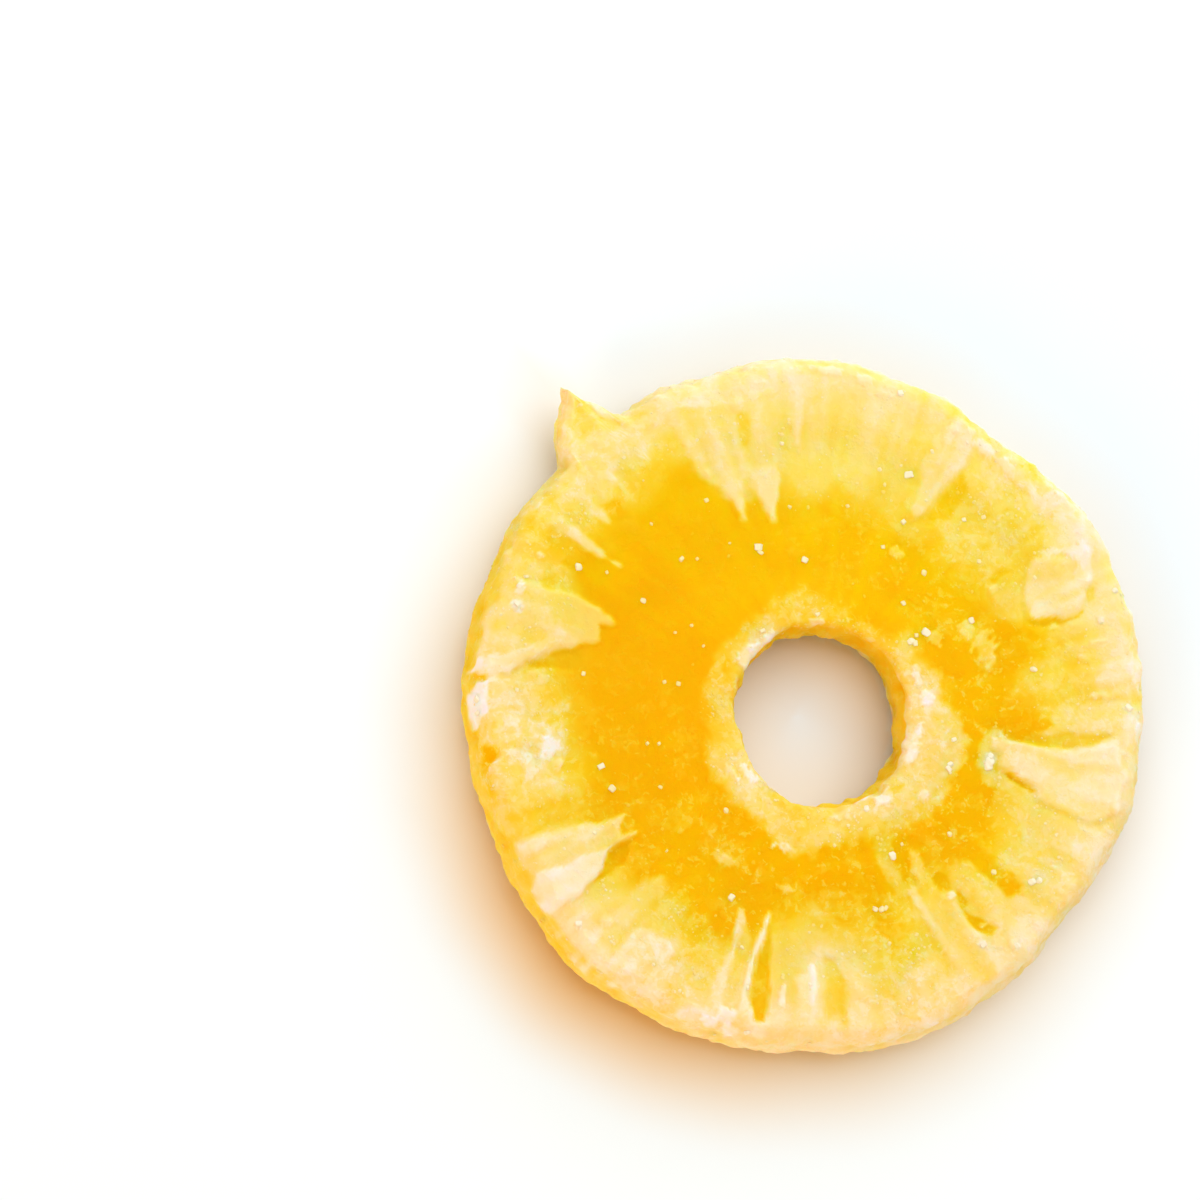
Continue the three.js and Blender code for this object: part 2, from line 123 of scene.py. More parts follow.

# The segments' wedges, panels, ridges and clefts, with some painted shade in gold among them: the height of
# each, its frost at the inner and at the outer end, the width of its edge and its corners as (angle,
# radius) round its outline. A later one lies on an earlier one.
FEATURES = {
    "flake": (0.4, 0.5, 0.5, 0.2, [(33.4, 32), (30.3, 30.2), (25.9, 28.9), (24, 29.2), (22.5, 28.9),
        (21.5, 29.6), (21, 30.9), (20.8, 31.9), (19.6, 32.6), (19.6, 33.5), (20.1, 34.5), (21.5, 35.2),
        (23.4, 36.2), (24.4, 37.2), (26.3, 36.7), (29.5, 36.7), (30.5, 36), (32.9, 33.4)]),
    "flake_front": (0, 0.58, 0.6, 0.35, [(30.3, 30.2), (25.9, 28.9), (24, 29.2), (22.5, 28.9),
        (21.5, 29.6), (21, 30.9), (20.8, 31.9), (19.6, 32.6), (19.6, 33.5), (20.1, 34.5), (21.5, 35.2),
        (23.4, 36.2), (24.4, 37.2), (26.1, 36.4), (25.8, 35.4), (27.9, 33.1), (28.8, 31.5)]),
    "flake_tip": (0.05, 0.62, 0.62, 0.35, [(27.6, 36.3), (26.2, 36.8), (24.4, 37.2), (23.6, 36.3),
        (25.2, 35.6), (27.2, 35.5)]),
    "flake_ridge": (0.15, 0.6, 0.78, 0.5, [(33.5, 33.6), (33.2, 35), (31.8, 36.6), (31.5, 38.5),
        (29.5, 39), (27.8, 38.2), (25.5, 37.6), (23.8, 37.3), (24.2, 36.6), (26, 36.9), (28, 36.8),
        (29.6, 36.4), (31.5, 35.6), (32.6, 33.8)]),
    "flake_side": (-0.1, 0.3, 0.34, 0.3, [(23, 36.3), (23.4, 37.4), (21.2, 36.9), (21.3, 35.9)]),
    "flake_top": (0, 0.42, 0.42, 0.8, [(28.9, 31.4), (30.4, 31), (32.4, 32.3), (31.4, 34.6), (29.5, 35.7),
        (27.8, 34.8)]),
    "flake_corner": (0, 0.72, 0.66, 0.5, [(23.2, 29), (21.4, 29.7), (20.9, 31), (20.6, 32), (19.6, 32.7),
        (19.6, 33.6), (20.2, 34.6), (21.5, 35.3), (23.2, 35.6), (23, 33.6), (23.6, 31.8), (25.4, 30)]),
    "flake_line": (0.05, 0.62, 0.62, 0.3, [(34.4, 33.4), (33.9, 34), (32.6, 35), (32, 35.4), (32.4, 34.4),
        (33.6, 33.3)]),
    # Partly painted shadow: the gold line under the flake's lower edge, along a shallow cleft.
    "flake_cleft_and_shadow": (-0.25, 0.1, 0.2, 0.25, [(25.4, 28.5), (22.3, 28.6), (21.2, 29.5), (20.6, 31.6),
        (19.4, 32.4), (19.3, 33.7), (20, 35), (19.4, 35.1), (18.7, 33.8), (18.6, 32.2), (19.6, 30.1),
        (20.6, 28.9), (23.3, 27.9)]),
    "flake_foot": (0.1, 0.28, 0.3, 0.8, [(22.5, 28.5), (29, 29.3), (33.5, 29), (33.5, 26), (28, 25.6),
        (23.5, 26)]),
    "right_gap": (-0.15, 0.03, 0.05, 1.0, [(12.5, 28.5), (15, 29.6), (18.5, 28.7), (20.5, 26.5),
        (19, 24.5), (13.5, 25)]),
    "right_slit": (-0.08, 0.08, 0.12, 0.6, [(34, 29.5), (35.3, 29), (36.5, 26), (35, 25.5), (34, 27)]),
    "upper_gap": (-0.15, 0.14, 0.16, 1.0, [(53, 32), (57, 33.6), (58, 31), (58.3, 27.5), (59.5, 25.3),
        (56, 26), (53, 28.5)]),
    "upper_streak": (0.25, 0.48, 0.6, 0.6, [(57, 35.7), (58.1, 31), (58.5, 27.5), (60.7, 25.3), (62, 26.8),
        (62.5, 29), (64.5, 32), (64.4, 35), (63, 38.6), (59, 38.6)]),
    "upper_streak_edge": (0.05, 0.56, 0.64, 0.5, [(57.3, 35.6), (58.3, 31), (58.7, 27.5), (60.4, 26),
        (60, 29), (60.2, 33), (60.5, 37), (59, 37.5)]),
    "top_line": (0.15, 0.56, 0.6, 0.5, [(91, 37.2), (92.3, 30.6), (93.4, 30.8), (93.5, 33), (93, 36.5),
        (92.3, 37.5)]),
    "prongs": (0.25, 0.48, 0.5, 1.0, [(97.3, 37), (97.6, 30), (98, 26), (100.5, 22), (102, 21.8),
        (103.5, 24), (105, 25.5), (107.5, 25.5), (109.3, 22.8), (110.6, 23), (112.3, 26), (114.5, 27.5),
        (117, 30), (117.3, 34.5), (115, 37.5)]),
    "first_prong": (0.15, 0.62, 0.56, 0.7, [(98, 28), (98.3, 25.5), (100.6, 22.1), (102, 22), (103.2, 24),
        (104.5, 27), (103, 28.5)]),
    "second_prong": (0.15, 0.58, 0.56, 0.8, [(109.2, 31.5), (108.3, 26), (109.3, 22.9), (110.5, 23.1),
        (112.2, 26.5), (113.3, 31), (113.6, 36), (111.5, 36)]),
    "prong_bridge": (0.05, 0.58, 0.58, 0.5, [(102.5, 27.6), (105, 29.7), (106, 31.5), (106.3, 33.5),
        (107.2, 33.3), (106.7, 31), (106.2, 29.2), (108.5, 26.5), (107.3, 26.6), (105.2, 28.4)]),
    "prong_window": (-0.15, 0.26, 0.3, 0.8, [(102.6, 35), (105.4, 35), (105.5, 31), (104, 30.3),
        (102.6, 32)]),
    "prong_gap": (-0.08, 0.32, 0.35, 0.7, [(105.2, 27.3), (107, 27.3), (108, 25), (106.5, 24),
        (104.8, 25.3)]),
    "shoulder_edge": (0.1, 0.66, 0.6, 0.4, [(120.5, 36), (123.5, 35.5), (125, 33.9), (126, 35),
        (124.5, 36.8), (122, 36.6)]),
    "flap_outer_ridge": (0.25, 0.6, 0.66, 0.3, [(128.1, 47.5), (128, 46.4), (129.2, 45.1), (131, 43.9),
        (132, 42.8), (132.6, 41.4), (133, 40.2), (135, 39.4), (138, 40.4), (136.5, 43), (134, 44.6),
        (131, 46), (129.5, 47.5)]),
    "flap_web": (-0.2, 0.36, 0.3, 0.6, [(132.4, 41), (131.4, 42.3), (129.6, 43.6), (128.2, 45),
        (127.5, 44), (127.3, 42.5), (127.6, 41), (130, 40.3)]),
    "flap_inner_ridge": (0.2, 0.68, 0.64, 0.4, [(123.8, 40.2), (124.6, 42), (125.2, 44), (126.8, 44),
        (126.8, 42.6), (126.4, 40.8), (125.4, 40)]),
    "shoulder_notch": (-0.15, 0.04, 0.06, 0.7, [(134.8, 32.6), (138.3, 33.4), (139, 30.7), (136, 30)]),
    "shoulder_spur": (0.1, 0.52, 0.5, 0.5, [(138.5, 37.5), (141, 37.5), (141, 33), (139.8, 31.4),
        (138.9, 33)]),
    "left_spur": (0.2, 0.5, 0.54, 0.6, [(145.5, 36.4), (145.7, 30), (146, 27.4), (147, 28.6),
        (147.7, 31.8), (147.8, 37.1)]),
    "left_wedge": (0.45, 0.38, 0.46, 0.6, [(159.3, 38), (158.8, 33), (157.3, 30), (158.2, 27), (160, 24.8),
        (162, 26.5), (166, 25.7), (168, 27.8), (170, 30.4), (172, 32), (174.2, 34.3), (177, 36.2),
        (176, 40), (170, 40)]),
    "left_wedge_edge": (0.1, 0.5, 0.8, 0.6, [(164.5, 31.5), (166, 30), (168.5, 28.3), (170.3, 30.6),
        (172.5, 32.3), (174.4, 34.3), (177.2, 36), (177.4, 38), (177.2, 39.9), (174.8, 39.8), (174, 38.4),
        (173.2, 36), (170.6, 33.4), (167, 31.5)]),
    "left_wedge_rim": (0.05, 0.52, 0.52, 0.5, [(168.5, 38.7), (174.5, 38.6), (174.5, 39.7),
        (168.5, 39.6)]),
    "left_wedge_ridge": (0.1, 0.5, 0.6, 0.7, [(163, 36.5), (164.8, 36.5), (165.8, 31), (165, 28),
        (164, 30)]),
    "left_eye": (-0.15, 0.08, 0.1, 0.6, [(156.2, 34.6), (157.8, 35), (159, 34.2), (158.7, 32.9),
        (157, 32.6), (156, 33.4)]),
    "left_pit": (-0.15, 0.03, 0.04, 0.7, [(151, 33.4), (153.5, 33.6), (154, 32), (152, 31.6)]),
    "left_cleft": (-0.25, 0.05, 0.1, 0.5, [(169.5, 27.5), (170.5, 29.8), (172.6, 31.6), (174.4, 33.8),
        (175.5, 33.5), (174.6, 30.5), (174, 27)]),
    "left_block": (0.25, 0.26, 0.5, 1.5, [(178, 39), (179, 30.5), (184, 29.8), (189, 30), (190.5, 33),
        (190.6, 36.4), (189, 38.6), (184, 40)]),
    "left_crust": (0.05, 0.58, 0.52, 1.0, [(184.5, 35.5), (185.8, 32.5), (187, 29.8), (190.5, 29.5),
        (193.4, 30.2), (193.6, 32.4), (191.6, 33.2), (190.6, 34.5), (190.4, 37), (189, 38), (186, 37.4)]),
    "left_block_rim": (0.15, 0.9, 0.95, 0.3, [(178.7, 39.5), (178.5, 38.5), (180.1, 38.3), (182.5, 38.6),
        (184.1, 38.5), (184.9, 39), (186.3, 39.5), (186, 40.3), (183.8, 40.7), (181.9, 40.5),
        (180.4, 39.9)]),
    "left_crack": (-0.3, 0.14, 0.14, 0.3, [(177.3, 41.4), (177.2, 40), (177.7, 38.7), (178.4, 38.7),
        (178.2, 40), (178.3, 41.4)]),
    "left_block_notch": (-0.9, 0.06, 0.12, 0.5, [(189, 40.4), (189.4, 39), (190.3, 38.1), (191.6, 37.8),
        (192.6, 38.6), (193.4, 39.4), (193.6, 41), (190, 41.4)]),
    "left_flat": (0.05, 0.28, 0.31, 1.2, [(198.5, 39), (198.5, 33), (206.5, 33), (206.5, 39)]),
    "lower_wedge": (0.5, 0.42, 0.5, 0.5, [(206.8, 39.7), (207, 36), (208.5, 33), (210.3, 30),
        (211.8, 25.8), (214, 27.5), (216, 28), (217.5, 25.4), (217, 30), (219.3, 32), (220.2, 36),
        (219.8, 40)]),
    "lower_wedge_ridge": (0.1, 0.5, 0.68, 0.5, [(207.3, 39.3), (209.8, 39.3), (210.2, 35.5), (213, 30.5),
        (212.8, 28.5), (211, 29.5), (208.8, 34), (207.5, 36)]),
    "lower_wedge_crest": (0.15, 0.72, 0.76, 0.35, [(212.7, 38.9), (215, 40.2), (219.5, 40.2),
        (220.2, 37.1), (219.7, 33.9), (219.2, 32.1), (217.2, 30.7), (216.8, 29.8), (216, 31), (215, 33.2),
        (214.5, 35.7)]),
    "lower_wedge_cleft": (-0.45, 0.0, 0.02, 0.35, [(217.4, 30.4), (219.3, 31.9), (220, 33.8),
        (221.3, 31.5), (221, 29.8), (220, 28.4), (218, 27), (217.3, 28)]),
    "lower_panel": (0.15, 0.36, 0.46, 1.2, [(224.5, 37), (225, 33), (227, 30), (230, 27), (232.2, 29),
        (232.3, 36), (231, 38)]),
    "lower_lump": (0.2, 0.62, 0.56, 0.5, [(231.8, 36), (232.2, 34.2), (234.3, 33.1), (236.5, 33.6),
        (238, 32.7), (241, 34), (239.5, 36), (236.5, 37), (236.2, 40.5), (232.8, 40.5)]),
    "lower_foot": (0.1, 0.33, 0.36, 0.9, [(232.5, 33.5), (240.5, 33), (238.5, 29), (236.5, 28.3),
        (233.5, 29.5)]),
    "thin_ridge": (0.2, 0.46, 0.62, 0.45, [(250, 39.5), (250.1, 35), (251.3, 31), (251.2, 28), (250.3, 26),
        (251.2, 25.8), (252.8, 28.2), (252.6, 31), (252.2, 36), (253.5, 38.5), (252, 40.3)]),
    "ridge_web": (0.1, 0.3, 0.52, 0.8, [(252.3, 39), (256.5, 39), (256.8, 34), (256, 30), (253.5, 28),
        (252.5, 30)]),
    "white_ridge": (0.45, 0.76, 0.64, 0.35, [(255.6, 39.5), (258.8, 39.5), (258.5, 37.5), (256.8, 35.5),
        (256.7, 32), (257.6, 29.5), (259.1, 25.4), (258.1, 25), (256.7, 28), (255.7, 32), (255.5, 35)]),
    "white_ridge_cleft": (-0.45, 0.03, 0.06, 0.4, [(257.5, 35.6), (258.9, 38), (260.5, 37.8), (261, 36),
        (260.7, 33.5), (260.5, 30), (259.8, 27), (259.2, 27.3), (258, 30.5), (257.3, 33)]),
    "arch_streak": (0.15, 0.66, 0.6, 0.8, [(266.8, 36.5), (269, 37), (270.7, 35), (270.9, 31),
        (269.8, 30.5), (268.3, 31.8), (266.2, 32.5), (266.5, 34)]),
    "arch_hollow": (-0.15, 0.32, 0.34, 1.0, [(272, 37), (275.5, 38), (276.7, 33), (275.5, 30),
        (272.5, 29.5), (271.5, 33)]),
    "arch": (0.15, 0.6, 0.58, 0.4, [(271, 28.3), (274, 28.6), (276.4, 29.4), (278.3, 31.6), (279.5, 33.9),
        (282.3, 35.8), (281.6, 36.5), (278.7, 34.9), (276.6, 32.3), (274.6, 30.1), (271.7, 29)]),
    "arch_line": (0.1, 0.8, 0.78, 0.35, [(268.9, 30.8), (269.7, 30.3), (270.4, 31.2), (270.1, 33),
        (269.7, 35.3), (268.8, 35.3), (269, 33)]),
    "right_band": (0.1, 0.26, 0.28, 0.9, [(292, 20.5), (294, 24.5), (298, 24.5), (297.5, 21), (298.5, 18),
        (295, 17.5)]),
    "right_line": (0.15, 0.54, 0.5, 0.5, [(298, 30.5), (298.9, 38.3), (300.6, 38.3), (300.1, 30.5),
        (300, 27), (299, 23.5), (298.2, 24), (298.2, 27)]),
    "right_panel": (0.15, 0.33, 0.45, 0.8, [(300.7, 38.5), (305, 38.5), (305.5, 34), (306, 30), (305, 26),
        (302, 25), (300.2, 27)]),
    "blister_moat": (-0.15, 0.0, 0.0, 0.6, [(298.5, 24.2), (301, 22), (303.5, 20), (306.5, 20.5),
        (309, 21.7), (309, 20), (304, 18.8), (299, 20.5)]),
    "blister": (0.25, 0.34, 0.3, 0.7, [(301, 25.2), (304, 25.2), (306, 23.5), (306, 21.5), (304, 20.8),
        (302.3, 22)]),
    "right_groove": (-0.3, 0.04, 0.06, 0.45, [(306.2, 32.8), (308.3, 34.3), (310, 33.8), (308, 31.5),
        (307.4, 29.8), (309, 29.3), (309.6, 28), (308.2, 27.6), (306.7, 29.2), (306.3, 30.5)]),
    "right_groove_foot": (-0.2, 0.06, 0.08, 0.5, [(305.3, 26.5), (307.5, 27), (309, 25.5), (308, 24.3),
        (305.5, 24.8)]),
    "right_spear": (0.2, 0.34, 0.38, 0.6, [(309.5, 31.5), (314, 32), (316, 30.5), (315, 28), (312.5, 25.5),
        (310.8, 24.8), (309.3, 26.5), (310, 29)]),
    "gold_wedge": (-0.08, 0.02, 0.04, 0.9, [(316, 32), (319.5, 33), (320.5, 30), (320.5, 24), (322, 21),
        (315, 20.3), (311.5, 22.5), (314.5, 25.5), (317, 28.5)]),
    "right_wedge_apron": (0, 0.36, 0.4, 0.9, [(337, 27), (337.5, 22.5), (341, 20.8), (353, 20.6),
        (353, 24), (342, 25.5)]),
    "right_wedge": (0.5, 0.6, 0.64, 0.4, [(338, 35.7), (338.2, 32.9), (338.6, 28.9), (340, 28.7),
        (342, 27), (342.9, 24.8), (343.6, 23.6), (346.8, 23.4), (347.6, 22.2), (351.3, 21.8),
        (351.8, 23.4), (351, 25.4), (351, 29.3), (351.2, 32.1), (353, 34.6), (354.5, 36.8), (350.5, 37.5),
        (348, 38.6), (341.5, 38.2), (339, 36.8)]),
    "right_wedge_tip": (0.05, 0.66, 0.7, 0.6, [(349.5, 37.4), (354.4, 36.7), (352.8, 34.3), (350.6, 33)]),
    "right_wedge_hollow": (-0.08, 0.5, 0.5, 0.9, [(345.3, 33), (348, 33), (348.5, 28), (346, 28.5)]),
    "right_wedge_cleft": (-0.35, 0.05, 0.06, 0.3, [(339.5, 28.4), (340.3, 28.6), (341.6, 27), (342.8, 25),
        (342.2, 24.5), (341, 25.3), (339.8, 27)]),
    "right_wedge_sill": (0.05, 0.6, 0.6, 0.5, [(341, 23), (346.6, 23.1), (347.2, 21.5), (341.2, 21.4)]),
    "right_wedge_line": (-0.1, 0.24, 0.24, 0.25, [(341.6, 23.6), (341.6, 23.1), (346.6, 23.1),
        (346.6, 23.4)]),
    "spear_groove": (-0.25, 0.15, 0.2, 0.5, [(351.4, 31.5), (353.4, 34.6), (355.5, 36.2), (355, 33),
        (354.8, 30), (353.5, 26.5), (351.3, 25.3), (351.2, 29)]),
    # Painted shade: a gold patch beside the wedge's edge, with almost no depth of its own.
    "right_shade": (-0.04, 0.04, 0.04, 0.9, [(354.5, 28), (356.5, 29.5), (359, 29), (360, 26), (357, 23.5),
        (352.4, 24.2), (352, 25.4)]),
}

# Lumps of white crust: angle, radius, half length outwards, half width across and frost.
LUMPS = [
    (18.7, 31, 0.7, 0.3, 0.48), (17.8, 33.7, 0.5, 0.3, 0.48), (32.7, 26.4, 0.7, 0.4, 0.42),
    (3, 35.2, 1.8, 0.4, 0.55), (13.5, 35.4, 1.2, 0.3, 0.52), (10.8, 33.4, 0.4, 0.5, 0.52),
    (40, 40, 0.6, 1.6, 0.64), (48, 37.3, 0.8, 3, 0.68), (34, 39.2, 0.6, 1.4, 0.64),
    (7, 39.4, 0.7, 2.5, 0.64), (62.5, 36.5, 1.4, 0.6, 0.62), (56, 37.3, 0.7, 2, 0.68),
    (76.3, 38, 0.4, 1, 0.6), (80.3, 39.3, 0.9, 0.9, 0.72), (87, 39.6, 0.6, 2.2, 0.68),
    (112.5, 37.7, 0.7, 1.5, 0.72), (104.5, 36, 0.6, 0.8, 0.58), (99.2, 37.9, 0.4, 0.7, 0.6),
    (114.5, 29.4, 0.5, 0.4, 0.56), (121.5, 37.6, 0.9, 1.4, 0.56), (126.7, 38.4, 0.4, 0.8, 0.64),
    (129.7, 38.5, 0.6, 1.2, 0.58), (133.2, 34.8, 0.4, 0.5, 0.62), (145, 39.3, 0.4, 1, 0.6),
    (153.7, 35.9, 0.5, 0.3, 0.56), (161.2, 36.6, 0.5, 1, 0.74), (164.3, 36.3, 0.9, 0.7, 0.78),
    (175.5, 38.9, 0.8, 0.9, 0.8), (177.3, 32, 0.8, 0.6, 0.5), (191.4, 31.8, 1.3, 1.1, 0.8),
    (191.6, 36.4, 0.7, 0.5, 0.78), (195, 34.6, 0.8, 0.9, 0.6), (195.7, 31.5, 0.6, 0.8, 0.6),
    (186.5, 35.7, 1, 0.9, 0.58), (208.5, 37.4, 1.6, 0.6, 0.7), (224, 38.6, 0.4, 0.5, 0.76),
    (226.5, 39.6, 1, 1, 0.62), (230.5, 40.2, 0.6, 0.8, 0.62), (227, 36, 0.6, 0.8, 0.56),
    (251.6, 39.4, 0.6, 1, 0.9), (256.8, 39.3, 0.6, 1.1, 0.66), (253.6, 38.4, 1, 1.2, 0.88),
    (255.2, 39.6, 0.5, 1, 0.86), (248.4, 38.6, 0.4, 0.7, 0.62), (263.4, 34.6, 1.3, 0.4, 0.66),
    (259.6, 38.8, 0.5, 0.7, 0.58), (286, 37, 0.5, 0.7, 0.52), (293.7, 36.4, 0.8, 0.3, 0.55),
    (305.4, 34.2, 0.5, 0.6, 0.72), (308.3, 35.2, 0.6, 0.9, 0.62), (310.3, 36.6, 0.6, 0.4, 0.7),
    (306.6, 27.7, 0.35, 0.7, 0.68), (308, 32.6, 0.3, 0.5, 0.46), (316.5, 36.8, 1.2, 0.6, 0.56),
    (319.2, 32.9, 0.3, 0.5, 0.45), (326, 36.6, 1.2, 0.6, 0.58), (323.5, 37, 1.2, 0.5, 0.56),
    (327, 34.5, 0.8, 0.3, 0.55), (338.2, 38, 0.7, 0.3, 0.72), (342, 37.8, 0.3, 0.9, 0.66),
    (356, 39.4, 0.4, 1.2, 0.66), (350.6, 23.1, 0.4, 0.8, 0.56), (240.5, 21.4, 0.7, 1.2, 0.3),
    (262, 22.1, 0.5, 1, 0.36), (86, 9.5, 0.4, 1, 0.66), (126, 8.9, 0.6, 1, 0.74), (137, 9, 0.7, 1.3, 0.74),
    (148, 9.3, 0.7, 1.4, 0.72), (60, 21, 0.7, 1.2, 0.28), (19, 22.4, 1.5, 2.2, 0.3), (26, 21, 1, 1.2, 0.32),
    (28, 17, 0.8, 1, 0.3), (30, 37.6, 1, 1, 0.74), (17.2, 36.6, 0.4, 0.5, 0.7), (195.1, 31, 0.4, 0.4, 0.66),
    (297, 12.3, 0.5, 1, 0.85), (259, 17.5, 0.5, 1.1, 0.7), (3, 13.8, 0.7, 1.2, 0.76),
    (16, 13, 0.5, 1, 0.68), (228, 11.6, 0.5, 1.6, 0.8), (222, 13, 0.4, 1.2, 0.68), (321, 17, 0.7, 0.7, 0.6),
    (333, 13.2, 0.6, 1.4, 0.76), (346, 13, 0.5, 1.5, 0.7), (307, 13.7, 0.8, 1.2, 0.66),
    (284, 13.6, 0.6, 1.4, 0.62),
]
LUMP_HEIGHT = 0.2

# How far past its corners the edge of a feature can reach, in degrees and in millimetres.
EDGE_ROOM = {"angle": 6, "radius": 3}

# How the pale crust sets in: the width of its fade and how early it starts, and the depth of the rim's own
# band. Near the rim, on the side towards the lamp, the frost is lowered as painted shade against the
# stronger
# light there: by how much, where it starts, its width, and its angle in radians.
CRUST = {"fade": 8.5, "lead": 0.45, "rim_band": 9}
RIM_PAINTED_SHADE = {"share": 0.15, "start": 2.8, "width": 1.8, "turn": 1}

# Random fields of the face, each a size in millimetres and a seed: patches, and streaks along the radius.
FACE_MOTTLES = ((11, 1), (4.2, 2), (1.9, 3), (1, 4))
FACE_FIBRES = ((5.0, 5), (2.2, 6))

SIDES = 640
ROWS = {"face": 84, "rim_top": 12, "wall": 12, "rim_foot": 6, "underside": 18, "hole_foot": 3, "core": 10,
        "hole_top": 5}


def ease(t):
    """0 below 0, 1 above 1, and the S-shaped curve 3t squared less 2t cubed between them."""
    t = np.clip(t, 0, 1)
    return t * t * (3 - 2 * t)


def angle_gap(a, b):
    """Difference of two angles, brought to between minus and plus half a turn."""
    return (a - b + 1.5 * FULL_TURN) % FULL_TURN - FULL_TURN / 2


def in_plane(angle, radius):
    """X and y of a place in the plane of the ring, from its angle and its radius."""
    turn = np.radians(angle)
    return radius * np.cos(turn), radius * np.sin(turn)


def around(points, angle):
    """Smooth closed curve through (angle, value) points: cubic pieces, with slopes taken across points."""
    at, value = np.array(points, float).T
    at = np.concatenate([at[-2:] - FULL_TURN, at, at[:2] + FULL_TURN])
    value = np.concatenate([value[-2:], value, value[:2]])
    slope = (value[2:] - value[:-2]) / (at[2:] - at[:-2])
    at, value = at[1:-1], value[1:-1]
    turned = np.mod(angle, FULL_TURN)
    i = np.searchsorted(at, turned, side="right") - 1
    span = at[i + 1] - at[i]
    t = (turned - at[i]) / span
    start, end, bend = slope[i] * span, slope[i + 1] * span, value[i] - value[i + 1]
    return value[i] + start * t - (3 * bend + 2 * start + end) * t**2 + (2 * bend + start + end) * t**3


def all_around(table, angle):
    """The smooth closed curve of each column of a table, over the angles in its first column."""
    return [around([(row[0], row[k]) for row in table], angle) for k in range(1, len(table[0]))]


def along(points, place):
    """Value along a line of (place, value) points, eased from each point to the next."""
    at, value = np.array(points, float).T
    i = np.clip(np.searchsorted(at, place, side="right") - 1, 0, len(at) - 2)
    return value[i] + (value[i + 1] - value[i]) * ease((place - at[i]) / (at[i + 1] - at[i]))


def waves(crests, angle):
    """Sum of cosine waves round the ring, each (waves per turn, height, angle of a crest)."""
    return sum(size * np.cos(np.radians(count * (angle - crest))) for count, size, crest in crests)


def mottle(x, y, z, size, seed, count=30):
    """Random field of mean 0 and spread 1: many cosine waves, about size long, in random directions."""
    rng = np.random.default_rng(seed)
    ways = rng.normal(size=(count, 3))
    ways *= (2 * np.pi / size * rng.uniform(0.6, 1.5, count) / np.linalg.norm(ways, axis=1))[:, None]
    starts = rng.uniform(0, 2 * np.pi, count)
    return sum(np.cos(x * u + y * v + z * w + s) for (u, v, w), s in zip(ways, starts)) / np.sqrt(count / 2)


def fibres(angle, radius, size, seed):
    """Random streaks that run outwards: a mottle that changes fast round the ring and slowly outwards."""
    return mottle(*in_plane(angle, 40), 0.15 * radius, size, seed)


def disc_radius(angle):
    """Radius of the disc without its tongue: the outline plus its small scallops."""
    return around(RIM, angle) + waves(SCALLOPS, angle)


def tongue_share(angle):
    """Share of its reach that the tongue has at an angle: 0 beside it, 1 at its tip, by its torn sides."""
    sides = TONGUE["sides"]
    return along(sides, np.clip(angle_gap(angle, TONGUE["angle"]), sides[0][0], sides[-1][0]))


def rim_radius(angle):
    """Outer radius: the disc's, plus the tongue's reach."""
    return disc_radius(angle) + TONGUE["reach"] * tongue_share(angle)


def on_tongue(angle, radius):
    """How far out on the tongue a point is: 0 on the disc, eased to 1 at the tongue's end."""
    share = tongue_share(angle)
    way = (radius - disc_radius(angle) + TONGUE["root"]) / (TONGUE["root"] + TONGUE["reach"] * share)
    return ease(2 * share) * ease(way)


def hole_radius(angle):
    """Distance from the disc's centre to where a ray leaves the hole, an off-centre, lobed circle."""
    turn = np.radians(angle)
    inward = HOLE["x"] * np.cos(turn) + HOLE["y"] * np.sin(turn)
    across = HOLE["x"] * np.sin(turn) - HOLE["y"] * np.cos(turn)
    radius = HOLE["radius"] + waves(HOLE["lobes"], angle)
    return inward + np.sqrt(radius**2 - across**2)


def depth_inside(corners, x, y):
    """Distance in from a polygon's outline, below 0 outside it, in the plane of x and y.

    The distance is to the nearest side, with the foot of the perpendicular kept on the side. A point is
    inside if a line from it to the right crosses the sides an odd number of times.
    """
    ends = np.stack(in_plane(*np.array(corners, float).T), axis=1)
    nearest, inside = np.full(x.shape, np.inf), np.zeros(x.shape, bool)
    for (x1, y1), (x2, y2) in zip(ends, np.roll(ends, -1, axis=0)):
        t = np.clip(((x - x1) * (x2 - x1) + (y - y1) * (y2 - y1)) / ((x2 - x1) ** 2 + (y2 - y1) ** 2), 0, 1)
        nearest = np.minimum(nearest, np.hypot(x - x1 - t * (x2 - x1), y - y1 - t * (y2 - y1)))
        crossing = x1 + (x2 - x1) * (y - y1) / (y2 - y1 + 1e-12)
        inside ^= ((y1 > y) != (y2 > y)) & (x < crossing)
    return np.where(inside, nearest, -nearest)


def lump_cover(lump, angle, radius, ragged):
    """1 inside a lump's ellipse, fading to 0 outside it, with a ragged edge."""
    at_angle, at_radius, outwards, across = lump[:4]
    sideways = np.radians(angle_gap(angle, at_angle)) * radius / across
    spread = np.hypot(sideways, (radius - at_radius) / outwards)
    return ease(2.2 * (1.2 - spread) + ragged)


